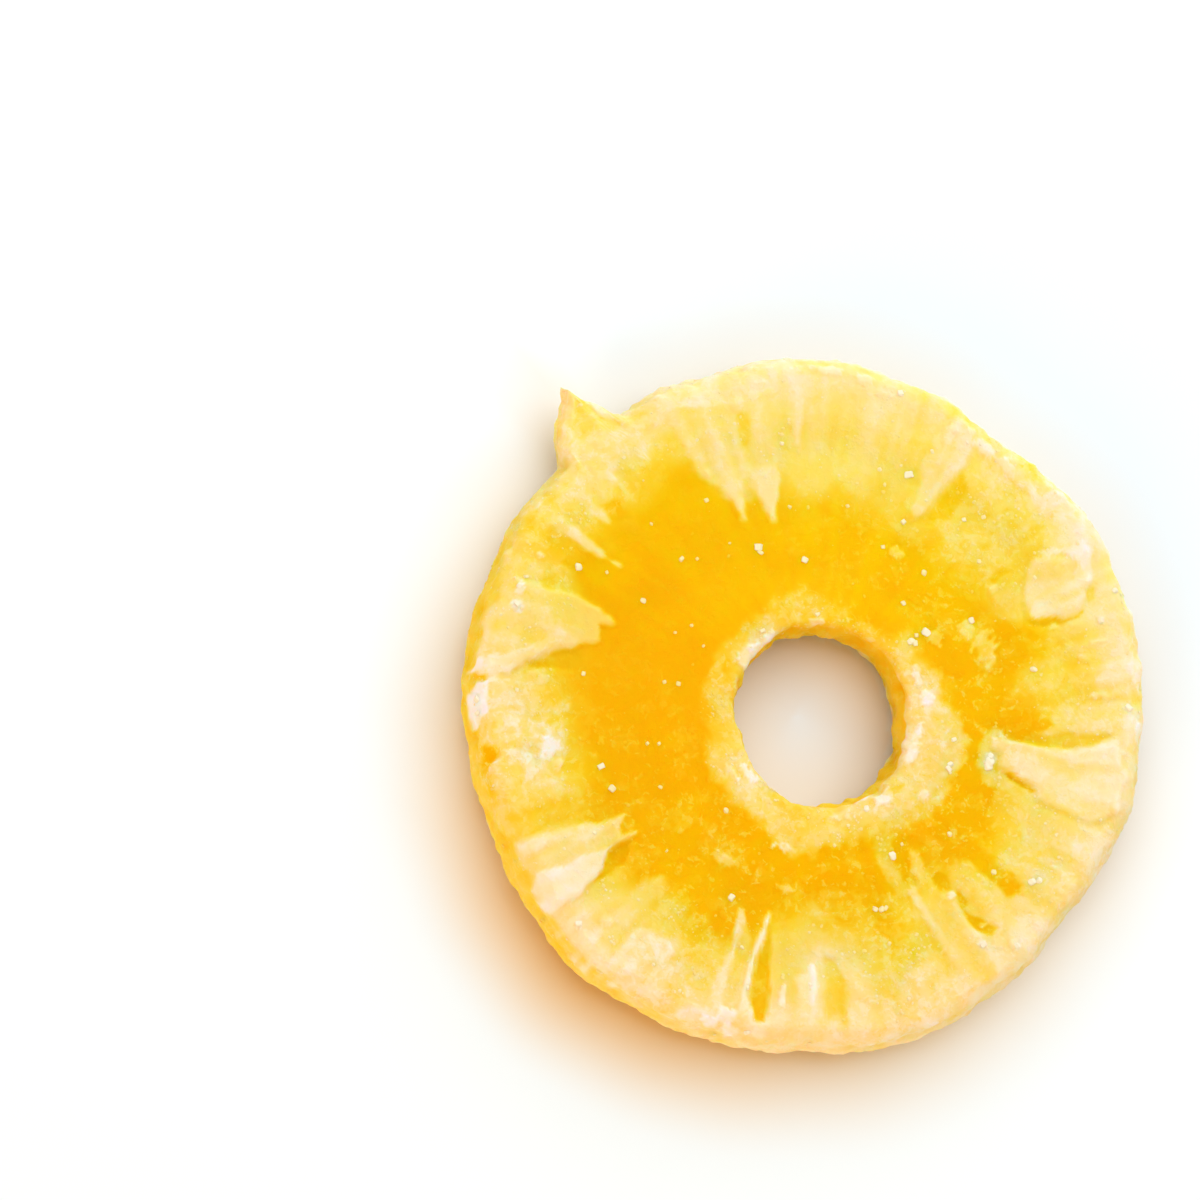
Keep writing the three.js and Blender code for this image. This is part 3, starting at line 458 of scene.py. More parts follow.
def face_of(angle, radius):
    """Height, frost and cloud of the upper face at an angle and a radius.

    The height is the level from hole to rim, plus the swell, the segments and the lumps, less the tongue's
    droop. The frost is 0 on clear gold, rises to the pale crust at the rim and at the hole's collar, and
    takes each segment's and each lump's own value under its cover. The cloud is how patchy the frost is.
    """
    x, y = in_plane(angle, radius)
    hole, disc = hole_radius(angle), disc_radius(angle)
    place = (radius - hole) / (disc - hole)
    broad, middling, small, crisp = (mottle(x, y, 0, size, seed) for size, seed in FACE_MOTTLES)
    streaks, hairs = (fibres(angle, radius, size, seed) for size, seed in FACE_FIBRES)
    ragged = 0.16 * middling + 0.14 * small
    outer_zone = ease((radius - 25) / 9)

    start, mid, rim_frost = all_around(PALE, angle)
    start = start + 0.3 * broad + 0.5 * middling
    frost = mid * ease((radius - start) / CRUST["fade"] + CRUST["lead"])
    frost = frost + (rim_frost - mid) * ease((radius - disc + CRUST["rim_band"]) / CRUST["fade"])
    # Painted shade: less frost near the rim on the side towards the lamp.
    rim_painted_shade = RIM_PAINTED_SHADE["share"] * ease((radius - disc + RIM_PAINTED_SHADE["start"]) / RIM_PAINTED_SHADE["width"])
    frost = frost - rim_painted_shade * np.clip(np.cos(np.radians(angle) - RIM_PAINTED_SHADE["turn"]), 0, 1)
    reach, edge_frost, far_frost = all_around(COLLAR, angle)
    collar = ease((reach + 0.3 * middling + 0.2 * small - radius) / 2.2 + 0.5)
    out = np.clip((radius - hole) / (reach - hole), 0, 1)
    frost = frost + ((edge_frost + (far_frost - edge_frost) * ease(1.3 * out - 0.2)) - frost) * collar

    height = along(FACE, np.clip(place, 0, 1)) + waves(SWELL, angle) * ease(2 * place)
    height = height - TONGUE["droop"] * on_tongue(angle, radius)
    for rise, inner_frost, outer_frost, soft, corners in FEATURES.values():
        (first, low), (last, high) = np.min(corners, axis=0), np.max(corners, axis=0)
        near = np.abs(angle_gap(angle, (first + last) / 2)) < (last - first) / 2 + EDGE_ROOM["angle"]
        near = near & (radius > low - EDGE_ROOM["radius"]) & (radius < high + EDGE_ROOM["radius"])
        depth = depth_inside(corners, x[near], y[near])
        cover = ease((depth + ragged[near] * min(1, 1.2 * soft)) / soft + 0.5)
        inner_share = ease((radius[near] - low) / (high - low))
        own = inner_frost + (outer_frost - inner_frost) * inner_share
        frost[near] += (own - frost[near]) * cover
        height[near] += rise * ease((depth + 0.12 * middling[near]) / max(1.0, soft) + 0.5)
    for lump in LUMPS:
        cover = lump_cover(lump, angle, radius, 0.25 * small + 0.3 * crisp)
        frost = np.maximum(frost, frost + (lump[4] - frost) * cover)
        height = height + LUMP_HEIGHT * cover
    frost = frost + (0.04 * streaks + 0.03 * hairs) * outer_zone * ease(3 * frost)
    height = height + outer_zone * (0.05 * streaks + 0.02 * hairs)
    inner_cloud, outer_cloud = around(CLOUD_INNER, angle), around(CLOUD_OUTER, angle)
    cloud = inner_cloud + (outer_cloud - inner_cloud) * ease((radius - start) / 3 + 0.5)
    cloud = cloud * ease((radius - 12) / 6)
    cloud = cloud + (0.9 - cloud) * collar
    return height, frost, cloud


def foot_of(angle, radius):
    """Height, frost and cloud of the underside: flat, dished at the hole, with furrows that stay gold."""
    hole = hole_radius(angle)
    place = (radius - hole) / (rim_radius(angle) - hole)
    furrow = ease((waves(FURROWS["waves"], angle) - FURROWS["share"]) / (1 - FURROWS["share"]))
    furrow = furrow * ease(3 * (place - FURROWS["start"]))
    height = DISH["depth"] * ease(1 - place / DISH["reach"]) + FURROWS["depth"] * furrow
    height = height + TONGUE["rise"] * on_tongue(angle, radius)
    patches = mottle(*in_plane(angle, radius), 0, 6, 11) + 0.6 * fibres(angle, radius, 6, 12)
    frost = 0.12 + 0.4 * ease((place - 0.45) * 2) + 0.09 * patches
    frost = frost - 0.25 * furrow + 0.3 * ease(1 - 8 * place)
    return height, frost, np.full(height.shape, 0.8)


def round_drop(edge, into):
    """How far a quarter round has dropped at a distance into it: its radius less the circle's height."""
    return edge - np.sqrt(np.maximum(0, edge**2 - np.maximum(0, into) ** 2))


def ring_section(angle):
    """Closed cross-sections at every angle, as radius, height, frost and cloud, one row for each step.

    The rows go out along the face, down the rim, back along the underside and up the core's wall. The
    edges are quarter rounds, the rim's wall bellies out by a sine and the core's wall narrows by one. Only
    the outer third of the rows follows the tongue; the others stay with the disc. Past the rim's edge the
    frost changes to the wall's own, except on the white crust.
    """
    hole, rim, disc = hole_radius(angle), rim_radius(angle), disc_radius(angle)
    thinned = 1 + (TONGUE["edge"] - 1) * tongue_share(angle)
    top_edge, foot_edge = EDGE["rim_top"] * thinned, EDGE["rim_foot"] * thinned

    def steps(name):
        return (np.arange(ROWS[name]) + 1)[:, None] / ROWS[name]

    def quarter(t):
        return np.sin(t * np.pi / 2)

    def top(radius):
        height, frost, cloud = face_of(np.broadcast_to(angle, radius.shape), radius)
        drop = round_drop(top_edge, radius - rim + top_edge)
        drop = drop + round_drop(EDGE["hole_top"], hole + EDGE["hole_top"] - radius)
        return radius, height - drop, frost, cloud

    def foot(radius):
        height, frost, cloud = foot_of(np.broadcast_to(angle, radius.shape), radius)
        rise = round_drop(foot_edge, radius - rim + foot_edge)
        rise = rise + round_drop(EDGE["hole_foot"], hole + EDGE["hole_foot"] - radius)
        return radius, height + rise, frost, cloud

    def across(start, end, t):
        """Radii from start to end, both on the disc, with the tongue's reach added over the outer third."""
        return start + (end - start) * t + (rim - disc) * ease((t - 0.67) * 3)

    face = top(across(hole + EDGE["hole_top"], disc - top_edge, steps("face")))
    rim_top = top(rim + top_edge * (quarter(steps("rim_top")) - 1))
    crusted = ease((rim_top[2] - 0.62) / 0.16)
    below_edge = ease((rim_top[0] - rim + 0.6) / 0.5)
    rim_top[2][:] += (around(WALL_FROST, angle) - rim_top[2]) * below_edge * (1 - crusted)
    rim_foot = foot(rim - foot_edge * (1 - quarter(1 - steps("rim_foot"))))
    underside = foot(across(hole + EDGE["hole_foot"], disc - foot_edge, 1 - steps("underside")))
    hole_foot = foot(hole + EDGE["hole_foot"] * (1 - quarter(steps("hole_foot"))))
    hole_top = top(hole + EDGE["hole_top"] * (1 - quarter(1 - steps("hole_top"))))

    def wall(name, start, end_height, edge, bulge, frost):
        t = steps(name)
        height = start[1][-1] + (end_height - start[1][-1]) * t
        frosting = start[2][-1] + (frost - start[2][-1]) * ease(3 * t)
        return edge + bulge * np.sin(np.pi * t), height, frosting, np.full(height.shape, 0.35)

    rim_wall = wall("wall", rim_top, foot(rim[None, :])[1][0], rim, BELLY, around(WALL_FROST, angle))
    core_wall = wall("core", hole_foot, top(hole[None, :])[1][0], hole, -WAIST, 0.14)
    parts = (face, rim_top, rim_wall, rim_foot, underside, hole_foot, core_wall, hole_top)
    return [np.concatenate([np.broadcast_to(part[k], (len(part[1]), len(angle))) for part in parts])
            for k in range(4)]


def outward_normals(points):
    """Unit normals of a surface that closes both ways: the cross product of its two differences."""
    round_ring = np.roll(points, -1, axis=1) - np.roll(points, 1, axis=1)
    down_section = np.roll(points, -1, axis=0) - np.roll(points, 1, axis=0)
    normal = np.cross(down_section, round_ring)
    return normal / np.linalg.norm(normal, axis=2, keepdims=True)


turns = np.arange(SIDES) * FULL_TURN / SIDES
radii, heights, frost, cloud = ring_section(turns)
points = np.stack([*in_plane(turns, radii), heights], axis=2)

# Crust over the whole skin: a fine grit, and coarser crumbs where the flesh dried to a wall or a collar.
grit = mottle(*np.moveaxis(points, 2, 0), 1.6, 21)
crumb = mottle(*np.moveaxis(points, 2, 0), 3.6, 22)
normals = outward_normals(points)
upright = ease((1 - np.abs(normals[:, :, 2])) * 1.6)
near_hole = ease(1 - (radii - hole_radius(turns)) / 4)
frost = np.clip(frost + upright * 0.04 * crumb, 0, 1.1)
raised = (0.01 + 0.02 * frost) * grit + upright * (0.09 * crumb + 0.045 * grit) + 0.06 * near_hole * crumb
points = points + normals * raised[:, :, None]
points[:, :, 2] = np.maximum(points[:, :, 2], 0)

# The mesh goes where the solid is: the disc's centre is off the middle of the solid's box.
solid_low, solid_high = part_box("pineapple_ring")
disc_low = points[:, :, :2].min(axis=(0, 1)) * MM
disc_high = points[:, :, :2].max(axis=(0, 1)) * MM
disc_centre = ((np.array(solid_low) + np.array(solid_high))[:2] - disc_low - disc_high) / 2
skin = points * MM
skin[:, :, :2] += disc_centre


def new_object(name, data):
    """Object that shows a mesh, a lamp or a camera, put into the scene."""
    thing = bpy.data.objects.new(name, data)
    bpy.context.scene.collection.objects.link(thing)
    return thing


def store(piece, **masks):
    """Store masks on a piece's points, in order. A mask may have one value for each part of the piece."""
    for name, values in masks.items():
        layer = piece.data.attributes.new(name, "FLOAT", "POINT")
        spread = np.repeat(values.ravel(), len(piece.data.vertices) // values.size)
        layer.data.foreach_set("value", spread.astype(np.float32))


def closed_sheet(name, grid):
    """Mesh of a grid of points that closes on itself both ways, with four-sided faces."""
    rows, sides = grid.shape[:2]
    index = np.arange(rows * sides).reshape(rows, sides)
    right, below = np.roll(index, -1, axis=1), np.roll(index, -1, axis=0)
    faces = np.stack([index, below, np.roll(below, -1, axis=1), right], axis=2).reshape(-1, 4)
    mesh = bpy.data.meshes.new(name)
    mesh.from_pydata(grid.reshape(-1, 3), [], faces)
    mesh.shade_smooth()
    return new_object(name, mesh)


flesh = closed_sheet("candied_flesh", skin)

# Hue of the flesh, 0 for lemon and 1 for amber, with painted shade in it. It turns to amber from the far
# side to the near one, which is painted shade for light that falls from over the far side. It also turns
# amber on the inner half at both sides, in a bell-shaped patch at the left, and on the walls.
DEEP_GOLD = {"x": -24, "y": 2, "spread": 9.0, "share": 0.35}

deep_gold = np.exp(-((points[:, :, 0] - DEEP_GOLD["x"]) ** 2 + (points[:, :, 1] - DEEP_GOLD["y"]) ** 2)
                   / (2 * DEEP_GOLD["spread"] ** 2))
streaks = fibres(np.broadcast_to(turns, radii.shape), radii, 4, 25)
hue_drift = 0.13 * mottle(*np.moveaxis(points, 2, 0), 8, 24) + 0.1 * streaks
towards_far = np.cos(np.radians(turns - 88))
at_the_sides = 1 - 0.9 * np.clip(towards_far, 0, 1) - 1.1 * np.clip(-towards_far, 0, 1)
inner = 0.4 * ease((31 - radii) / 8) * at_the_sides
# Painted shade: the turn to amber from the far side to the near one stands in for light from over the far
# side.
amber = np.clip(0.5 - radii * np.cos(np.radians(turns - 85)) / 85
                + DEEP_GOLD["share"] * deep_gold + inner + hue_drift, 0, 1)
wall_amber = 0.72 + 0.28 * np.cos(np.radians(turns - 220))
amber = amber + (wall_amber - amber) * upright * 0.8
amber = amber + (0.95 - amber) * upright * near_hole
store(flesh, frost=frost, amber=amber, cloud=cloud)

# Screen tones of the flesh: how much frost, from bare (0) to white with sugar (1), the lemon tone and the
# amber one. The gains say how much the light lifts each channel.
LIGHT_GAIN = np.array([1.2, 1.13, 0.94])
TONES = [
    (0.0, (252, 198, 3), (252, 181, 3)), (0.08, (253, 205, 20), (252, 192, 20)),
    (0.16, (253, 210, 41), (252, 201, 41)), (0.27, (253, 216, 69), (252, 208, 69)),
    (0.39, (253, 223, 100), (252, 214, 100)), (0.55, (253, 227, 140), (252, 220, 140)),
    (0.7, (252, 232, 178), (252, 230, 178)), (0.85, (253, 238, 208), (252, 236, 208)),
    (1.0, (253, 241, 224), (252, 240, 224)),
]


def tone(red, green, blue):
    """Surface colour that the light brings up to a screen tone: the tone made linear, over the gains."""
    share = np.array([red, green, blue]) / 255
    linear = np.where(share <= 0.04045, share / 12.92, ((share + 0.055) / 1.055) ** 2.4)
    return (*np.clip(linear / LIGHT_GAIN, 0, 0.95), 1.0)


def new_material(name):
    """Material with a Principled shader at its output, its nodes and links, and that shader's inputs."""
    material = bpy.data.materials.new(name)
    material.use_nodes = True
    nodes, links = material.node_tree.nodes, material.node_tree.links
    nodes.clear()
    shader, output = nodes.new("ShaderNodeBsdfPrincipled"), nodes.new("ShaderNodeOutputMaterial")
    links.new(shader.outputs["BSDF"], output.inputs["Surface"])
    return material, nodes, links, shader.inputs


def new_group(name, takes, gives):
    """Node group that takes numbers, 0.5 if nothing is joined, and gives sockets of (name, socket type).

    It comes with its nodes and links and with the sockets of its inputs and outputs.
    """
    group = bpy.data.node_groups.new(name, "ShaderNodeTree")
    for label in takes:
        socket = group.interface.new_socket(label, in_out="INPUT", socket_type="NodeSocketFloat")
        socket.default_value = 0.5
    for label, kind in gives:
        group.interface.new_socket(label, in_out="OUTPUT", socket_type=kind)
    start, end = group.nodes.new("NodeGroupInput"), group.nodes.new("NodeGroupOutput")
    return group, group.nodes, group.links, start.outputs, end.inputs


def add_group(nodes, links, group, **inputs):
    """Outputs of a new node for a group, with sockets joined to its inputs."""
    node = nodes.new("ShaderNodeGroup")
    node.node_tree = group
    for name, socket in inputs.items():
        links.new(socket, node.inputs[name])
    return node.outputs


def tone_ramp(nodes, tones):
    """Colour ramp node with one stop for each (place, screen tone)."""
    ramp = nodes.new("ShaderNodeValToRGB")
    stops = ramp.color_ramp.elements
    while len(stops) < len(tones):
        stops.new(0.5)
    for stop, (place, colour) in zip(stops, tones):
        stop.position = place
        stop.color = tone(*colour)
    return ramp


def math_chain(nodes, links):
    """Function that adds a Math node for an operation on sockets and numbers, and returns its output."""
    def result_of(operation, *terms):
        node = nodes.new("ShaderNodeMath")
        node.operation = operation
        for socket, term in zip(node.inputs, terms):
            if isinstance(term, (int, float)):
                socket.default_value = term
            else:
                links.new(term, socket)
        return node.outputs[0]
    return result_of


def candied_tones_group():
    """Node group: colour of candied flesh or sugar for its frost, from the lemon tones to the amber."""
    takes, gives = ("Frost", "Amber"), [("Color", "NodeSocketColor")]
    group, nodes, links, inputs, outputs = new_group("candied tones", takes, gives)
    blend = nodes.new("ShaderNodeMix")
    blend.data_type = "RGBA"
    links.new(inputs["Amber"], blend.inputs["Factor"])
    for column, socket in ((1, 6), (2, 7)):
        ramp = tone_ramp(nodes, [(row[0], row[column]) for row in TONES])
        links.new(inputs["Frost"], ramp.inputs["Fac"])
        links.new(ramp.outputs["Color"], blend.inputs[socket])
    links.new(blend.outputs[2], outputs["Color"])
    return group


# Noises of the frost, each with its scale, detail and distortion.
FROST_NOISES = {"clouds": (300.0, 4.0, 0.6), "patches": (850.0, 2.0, 0.4), "flecks": (1250.0, 2.0, 0.5),
                "pits": (1500.0, 2.0, 0.6), "fine": (2600.0, 2.0, 0.0)}


def sugar_frost_group():
    """Node group: breaks a frost mask up into clouds, flecks and pits of sugar, and gives their height.

    Frost and Cloud go in: the broad mask, and how strongly it is broken up. Clouds are a soft-stepped noise
    of about 3 mm and patches one of about 1 mm. Flecks are the peaks of a finer noise, thickest where a
    cloud is and faintest where the frost is white already. Pits are the peaks of another, which show the
    gold through the frost, and the finest noise adds a little grain.
    """
    takes, gives = ("Frost", "Cloud"), [("Frost", "NodeSocketFloat"), ("Grain height", "NodeSocketFloat")]
    group, nodes, links, inputs, outputs = new_group("sugar frost", takes, gives)
    place = nodes.new("ShaderNodeTexCoord")
    result_of = math_chain(nodes, links)

    def stepped(value, low, high):
        step = nodes.new("ShaderNodeMapRange")
        step.interpolation_type = "SMOOTHSTEP"
        step.inputs["From Min"].default_value = low
        step.inputs["From Max"].default_value = high
        links.new(value, step.inputs["Value"])
        return step.outputs["Result"]

    def noise(scale, detail, distortion):
        node = nodes.new("ShaderNodeTexNoise")
        node.inputs["Scale"].default_value = scale
        node.inputs["Detail"].default_value = detail
        node.inputs["Roughness"].default_value = 0.55
        node.inputs["Distortion"].default_value = distortion
        links.new(place.outputs["Object"], node.inputs["Vector"])
        return node.outputs["Fac"]

    frost, cloud = inputs["Frost"], inputs["Cloud"]
    broad = noise(*FROST_NOISES["clouds"])
    clouds = result_of("SUBTRACT", stepped(broad, 0.42, 0.62), 0.4)
    patches = result_of("SUBTRACT", stepped(noise(*FROST_NOISES["patches"]), 0.47, 0.63), 0.3)
    crowded = result_of("MULTIPLY_ADD", broad, 0.45, noise(*FROST_NOISES["flecks"]))
    flecks = stepped(crowded, 0.78, 0.91)
    pits = stepped(noise(*FROST_NOISES["pits"]), 0.56, 0.7)
    fine = result_of("SUBTRACT", noise(*FROST_NOISES["fine"]), 0.5)

    soft = result_of("MULTIPLY", result_of("MULTIPLY", clouds, cloud), 0.2)
    crisp = result_of("MULTIPLY", result_of("MULTIPLY", patches, cloud), 0.12)
    total = result_of("MAXIMUM", result_of("ADD", frost, result_of("ADD", soft, crisp)), 0.0)
    room = result_of("MAXIMUM", result_of("MULTIPLY_ADD", total, -0.33, 0.27), 0.05)
    total = result_of("MULTIPLY_ADD", result_of("MULTIPLY", flecks, cloud), room, total)
    shown = result_of("MINIMUM", result_of("MULTIPLY", total, 0.3), 0.12)
    total = result_of("SUBTRACT", total, result_of("MULTIPLY", result_of("MULTIPLY", pits, cloud), shown))
    grain = result_of("MINIMUM", result_of("MULTIPLY", total, 0.13), 0.03)
    total = result_of("MULTIPLY_ADD", fine, grain, total)
    links.new(total, outputs["Frost"])
    links.new(result_of("ADD", result_of("MULTIPLY", patches, 0.6), result_of("ADD", flecks, fine)),
              outputs["Grain height"])
    return group


tones_group = candied_tones_group()
frost_group = sugar_frost_group()


def surface_mask(nodes, name):
    """Output of an Attribute node that reads a mask stored on the mesh."""
    mask = nodes.new("ShaderNodeAttribute")
    mask.attribute_name = name
    return mask.outputs["Fac"]


def flesh_material():
    """Half-clear candied flesh: gold where bare, cream where frosted, with light spread under the skin."""
    material, nodes, links, inputs = new_material("candied flesh")
    grain = add_group(nodes, links, frost_group,
                      Frost=surface_mask(nodes, "frost"), Cloud=surface_mask(nodes, "cloud"))
    colour = add_group(nodes, links, tones_group, Frost=grain["Frost"], Amber=surface_mask(nodes, "amber"))
    bump = nodes.new("ShaderNodeBump")
    bump.inputs["Strength"].default_value = 0.25
    bump.inputs["Distance"].default_value = 0.00015
    links.new(grain["Grain height"], bump.inputs["Height"])
    inputs["Subsurface Weight"].default_value = 1.0
    inputs["Subsurface Radius"].default_value = (1.0, 0.06, 0.045)
    inputs["Subsurface Scale"].default_value = 0.005
    inputs["Specular IOR Level"].default_value = 0.01
    inputs["IOR"].default_value = 1.45
    roughness = math_chain(nodes, links)("MULTIPLY_ADD", grain["Frost"], 0.3, 0.35)
    links.new(colour["Color"], inputs["Base Color"])
    links.new(roughness, inputs["Roughness"])
    links.new(bump.outputs["Normal"], inputs["Normal"])
    return material


flesh.data.materials.append(flesh_material())
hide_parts("pineapple_ring")
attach(flesh, "root")

# ---------------------------------------------------------------------------------------------------
# The sugar grains: crystals left from the soak, stuck to the face and half sunk into it. The large ones
# lie where they are seen, and smaller ones are strewn among them.

# Each grain: angle, radius and size in millimetres.
PLACED_GRAINS = [
    (28, 22, 1.2), (32, 16.4, 1.5), (30.2, 14.4, 1), (31.8, 14.1, 1.1), (33.4, 14.9, 0.8), (47.2, 16.4, 1),
    (49, 21.1, 0.8), (64.7, 20.8, 0.8), (66.5, 30, 1.2), (62.2, 24.8, 1), (50, 29.2, 0.8), (10.4, 27.5, 1),
    (73.5, 38.6, 0.9), (21.5, 39.7, 1.2), (0.4, 38, 1.2), (17, 36.6, 0.7), (92, 16.9, 1.2),
    (96.4, 30.9, 0.8), (108.6, 19.3, 1.2), (108.8, 18.4, 0.9), (95.4, 23.2, 0.6), (132.8, 22.5, 0.9),
    (150.2, 23, 1), (152.1, 31.3, 1.1), (149.1, 28, 0.6), (149, 16.4, 0.6), (154.5, 14.3, 0.6),
    (154.5, 17.7, 0.5), (117.8, 26.6, 0.7), (132.8, 27.7, 0.6), (128.6, 21.2, 0.5), (117.2, 21, 0.5),
    (174.8, 27, 0.8), (174.2, 17.5, 0.7), (174.4, 15.8, 0.7), (198.7, 26.3, 1.2), (204.7, 26.1, 1),
    (195.5, 20.3, 0.7), (196.9, 19, 0.7), (210.6, 20.9, 0.6), (226.2, 24.8, 0.5), (232, 16.6, 0.8),
    (247.5, 25, 1.1), (224, 38.7, 0.9), (287.4, 25.2, 1), (289, 25.3, 0.9), (290.3, 25.4, 0.8),
    (298, 20.1, 1.3), (303.2, 19.6, 0.6), (317.6, 22.2, 0.8), (318.5, 29, 0.8), (321.5, 33.1, 1.2),
    (322.9, 33.6, 0.9), (341.9, 22.5, 1.3), (343.7, 22.5, 1.4), (345.5, 22.4, 1.1), (335.6, 18.1, 1),
    (337.3, 17.9, 0.9), (346.8, 17.5, 0.9), (305.4, 34.3, 1), (310.3, 36.8, 0.8), (164.4, 36.5, 1),
    (161, 36.8, 0.8), (181.5, 39.4, 1.2), (183.8, 39.6, 1.1), (297, 12.6, 1), (126, 9.4, 0.8),
    (86, 9.9, 0.8), (212, 30.5, 0.6), (269, 33, 0.7), (258.2, 39.5, 0.8),
]
STREWN_GRAINS = 90

# Half the width of the box that cuts a crystal's ball flat, and how far its middle stands out of the skin,
# both as shares of its size.
CRYSTAL_WALL = 0.36
CRYSTAL_LIFT = 0.03

grain_random = np.random.default_rng(31)
face_rows = ROWS["face"] + ROWS["rim_top"]
step_round = np.roll(skin, -1, axis=1) - skin
step_down = np.roll(skin, -1, axis=0) - skin
cell_area = np.linalg.norm(np.cross(step_round, step_down), axis=2)


def crystals(name, at, shift, sizes, rounds, flat, random):
    """One mesh of many crystals: balls of facets, squashed and turned at random and cut to flat sides.

    Each lies at a point of the skin, shifted. A ball is an icosphere cut that many rounds. Its points are
    pushed to the walls of a box where they lie outside it, which leaves flat sides and worn corners. What
    stands up out of the skin is flattened to a share of its height, and the middle stays a little above
    the skin.
    """
    outwards = normals.reshape(-1, 3)[at]
    tool = bmesh.new()
    bmesh.ops.create_icosphere(tool, subdivisions=rounds, radius=0.5)
    ball = np.array([vertex.co for vertex in tool.verts])
    faces = np.array([[vertex.index for vertex in face.verts] for face in tool.faces])
    tool.free()
    count = len(at)
    spin = np.linalg.qr(random.normal(size=(count, 3, 3)))[0]
    shape = np.clip(ball[None] * random.uniform(0.95, 1.15, (count, 1, 3)), -CRYSTAL_WALL, CRYSTAL_WALL)
    shape = shape * random.uniform(0.75, 1.3, (count, 1, 3))
    shape = shape * random.uniform(0.9, 1.1, (count, len(ball), 1))
    shape = np.einsum("nij,nkj->nki", spin, shape) * (sizes * MM)[:, None, None]
    upwards = np.einsum("nij,nj->ni", shape, outwards)
    shape = shape - (1 - flat) * upwards[:, :, None] * outwards[:, None]
    places = skin.reshape(-1, 3)[at] + shift + outwards * (CRYSTAL_LIFT * sizes * MM)[:, None]
    mesh = bpy.data.meshes.new(name)
    offsets = (np.arange(count) * len(ball))[:, None, None]
    mesh.from_pydata((shape + places[:, None]).reshape(-1, 3), [], (faces[None] + offsets).reshape(-1, 3))
    piece = new_object(name, mesh)
    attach(piece, "root")
    return piece


def sugar_material(name, roughness, gloss):
    """Sugar that takes its tone from its own frost mask and from the flesh's amber mask under it, painted
    shade and all.
    """
    material, nodes, links, inputs = new_material(name)
    colour = add_group(nodes, links, tones_group,
                       Frost=surface_mask(nodes, "frost"), Amber=surface_mask(nodes, "amber"))
    inputs["Roughness"].default_value = roughness
    inputs["Specular IOR Level"].default_value = gloss
    links.new(colour["Color"], inputs["Base Color"])
    return material


placed_turns, placed_radii, placed_sizes = np.array(PLACED_GRAINS, float).T
grain_columns = np.round(placed_turns * SIDES / FULL_TURN).astype(int) % SIDES
grain_rows = np.abs(radii[:face_rows, grain_columns] - placed_radii).argmin(axis=0)
strewn_chance = (cell_area * (0.01 + cloud * ease(4 * frost)) * (normals[:, :, 2] > 0.2)).ravel()
strewn = grain_random.choice(strewn_chance.size, STREWN_GRAINS, p=strewn_chance / strewn_chance.sum())
strewn_sizes = 0.25 + 0.35 * grain_random.random(STREWN_GRAINS) ** 3
grain_at = np.concatenate([grain_rows * SIDES + grain_columns, strewn])
grain_sizes = np.concatenate([0.82 * placed_sizes, strewn_sizes])
grains = crystals("sugar_grains", grain_at, 0, grain_sizes, 2, 0.5, grain_random)
grain_frost = np.clip(0.3 + 0.4 * grain_sizes + 0.3 * frost.ravel()[grain_at], 0, 0.76)
store(grains, frost=grain_frost, amber=0.5 * amber.ravel()[grain_at])
grains.data.materials.append(sugar_material("sugar grain", 0.6, 0.06))

# ---------------------------------------------------------------------------------------------------
# The sugar dust: flat broken crystals a few tenths of a millimetre long, thickest where the frost is
# patchy and thin on the clear gold. Each is a little paler than the flesh under it.

DUST_GRAINS = 1900

dust_random = np.random.default_rng(32)
half_frosted = (0.15 + ease(frost * 5)) * ease((0.7 - frost) * 3)
clusters = ease(0.6 * mottle(*np.moveaxis(points, 2, 0), 4.5, 23) + 0.3) ** 2
dust_chance = (cell_area * (0.01 + cloud * half_frosted * clusters) * (normals[:, :, 2] > -0.3)).ravel()
dust_places = dust_random.choice(dust_chance.size, DUST_GRAINS, p=dust_chance / dust_chance.sum())
jitter = (dust_random.random((DUST_GRAINS, 2)) - 0.5)[:, :, None]
shift = step_round.reshape(-1, 3)[dust_places] * jitter[:, 0]
shift = shift + step_down.reshape(-1, 3)[dust_places] * jitter[:, 1]
dust_sizes = 0.18 + 0.35 * dust_random.random(DUST_GRAINS) ** 2
dust = crystals("sugar_dust", dust_places, shift, dust_sizes, 1, 0.3, dust_random)
dust_frost = np.clip(frost.ravel()[dust_places] + 0.05 + 0.16 * dust_random.random(DUST_GRAINS), 0, 0.62)
store(dust, frost=dust_frost, amber=amber.ravel()[dust_places])
dust.data.materials.append(sugar_material("sugar dust", 0.55, 0.03))

# ---------------------------------------------------------------------------------------------------
# The table: a plain white sheet, well beyond the ring on every side. Close to the ring, and inside its
# hole, a warm shadow is painted into its tone: it is mixed to a darker gold there, standing in for shade
# and for the light that passes through the half-clear flesh.

TABLE_RINGS = np.concatenate([np.linspace(0.5, 62, 124), np.geomspace(66, 4500, 14)])
TABLE_SIDES = 180
TABLE_WHITE = (0.8, 0.83, 0.89, 1)
TABLE_SHADOW_GOLD = (0.8, 0.55, 0.31, 1)

# Painted warm shadow on the table: its share in the hole and how far it reaches there, its share all round
# the rim, what the side away from the lamp adds, that side's angle, and how far from the flesh it reaches.
TABLE_PAINTED_SHADOW = {"hole": 0.5, "hole_reach": 18, "rim": 0.3, "shaded": 0.66, "shaded_turn": 232, "reach": 13.5}

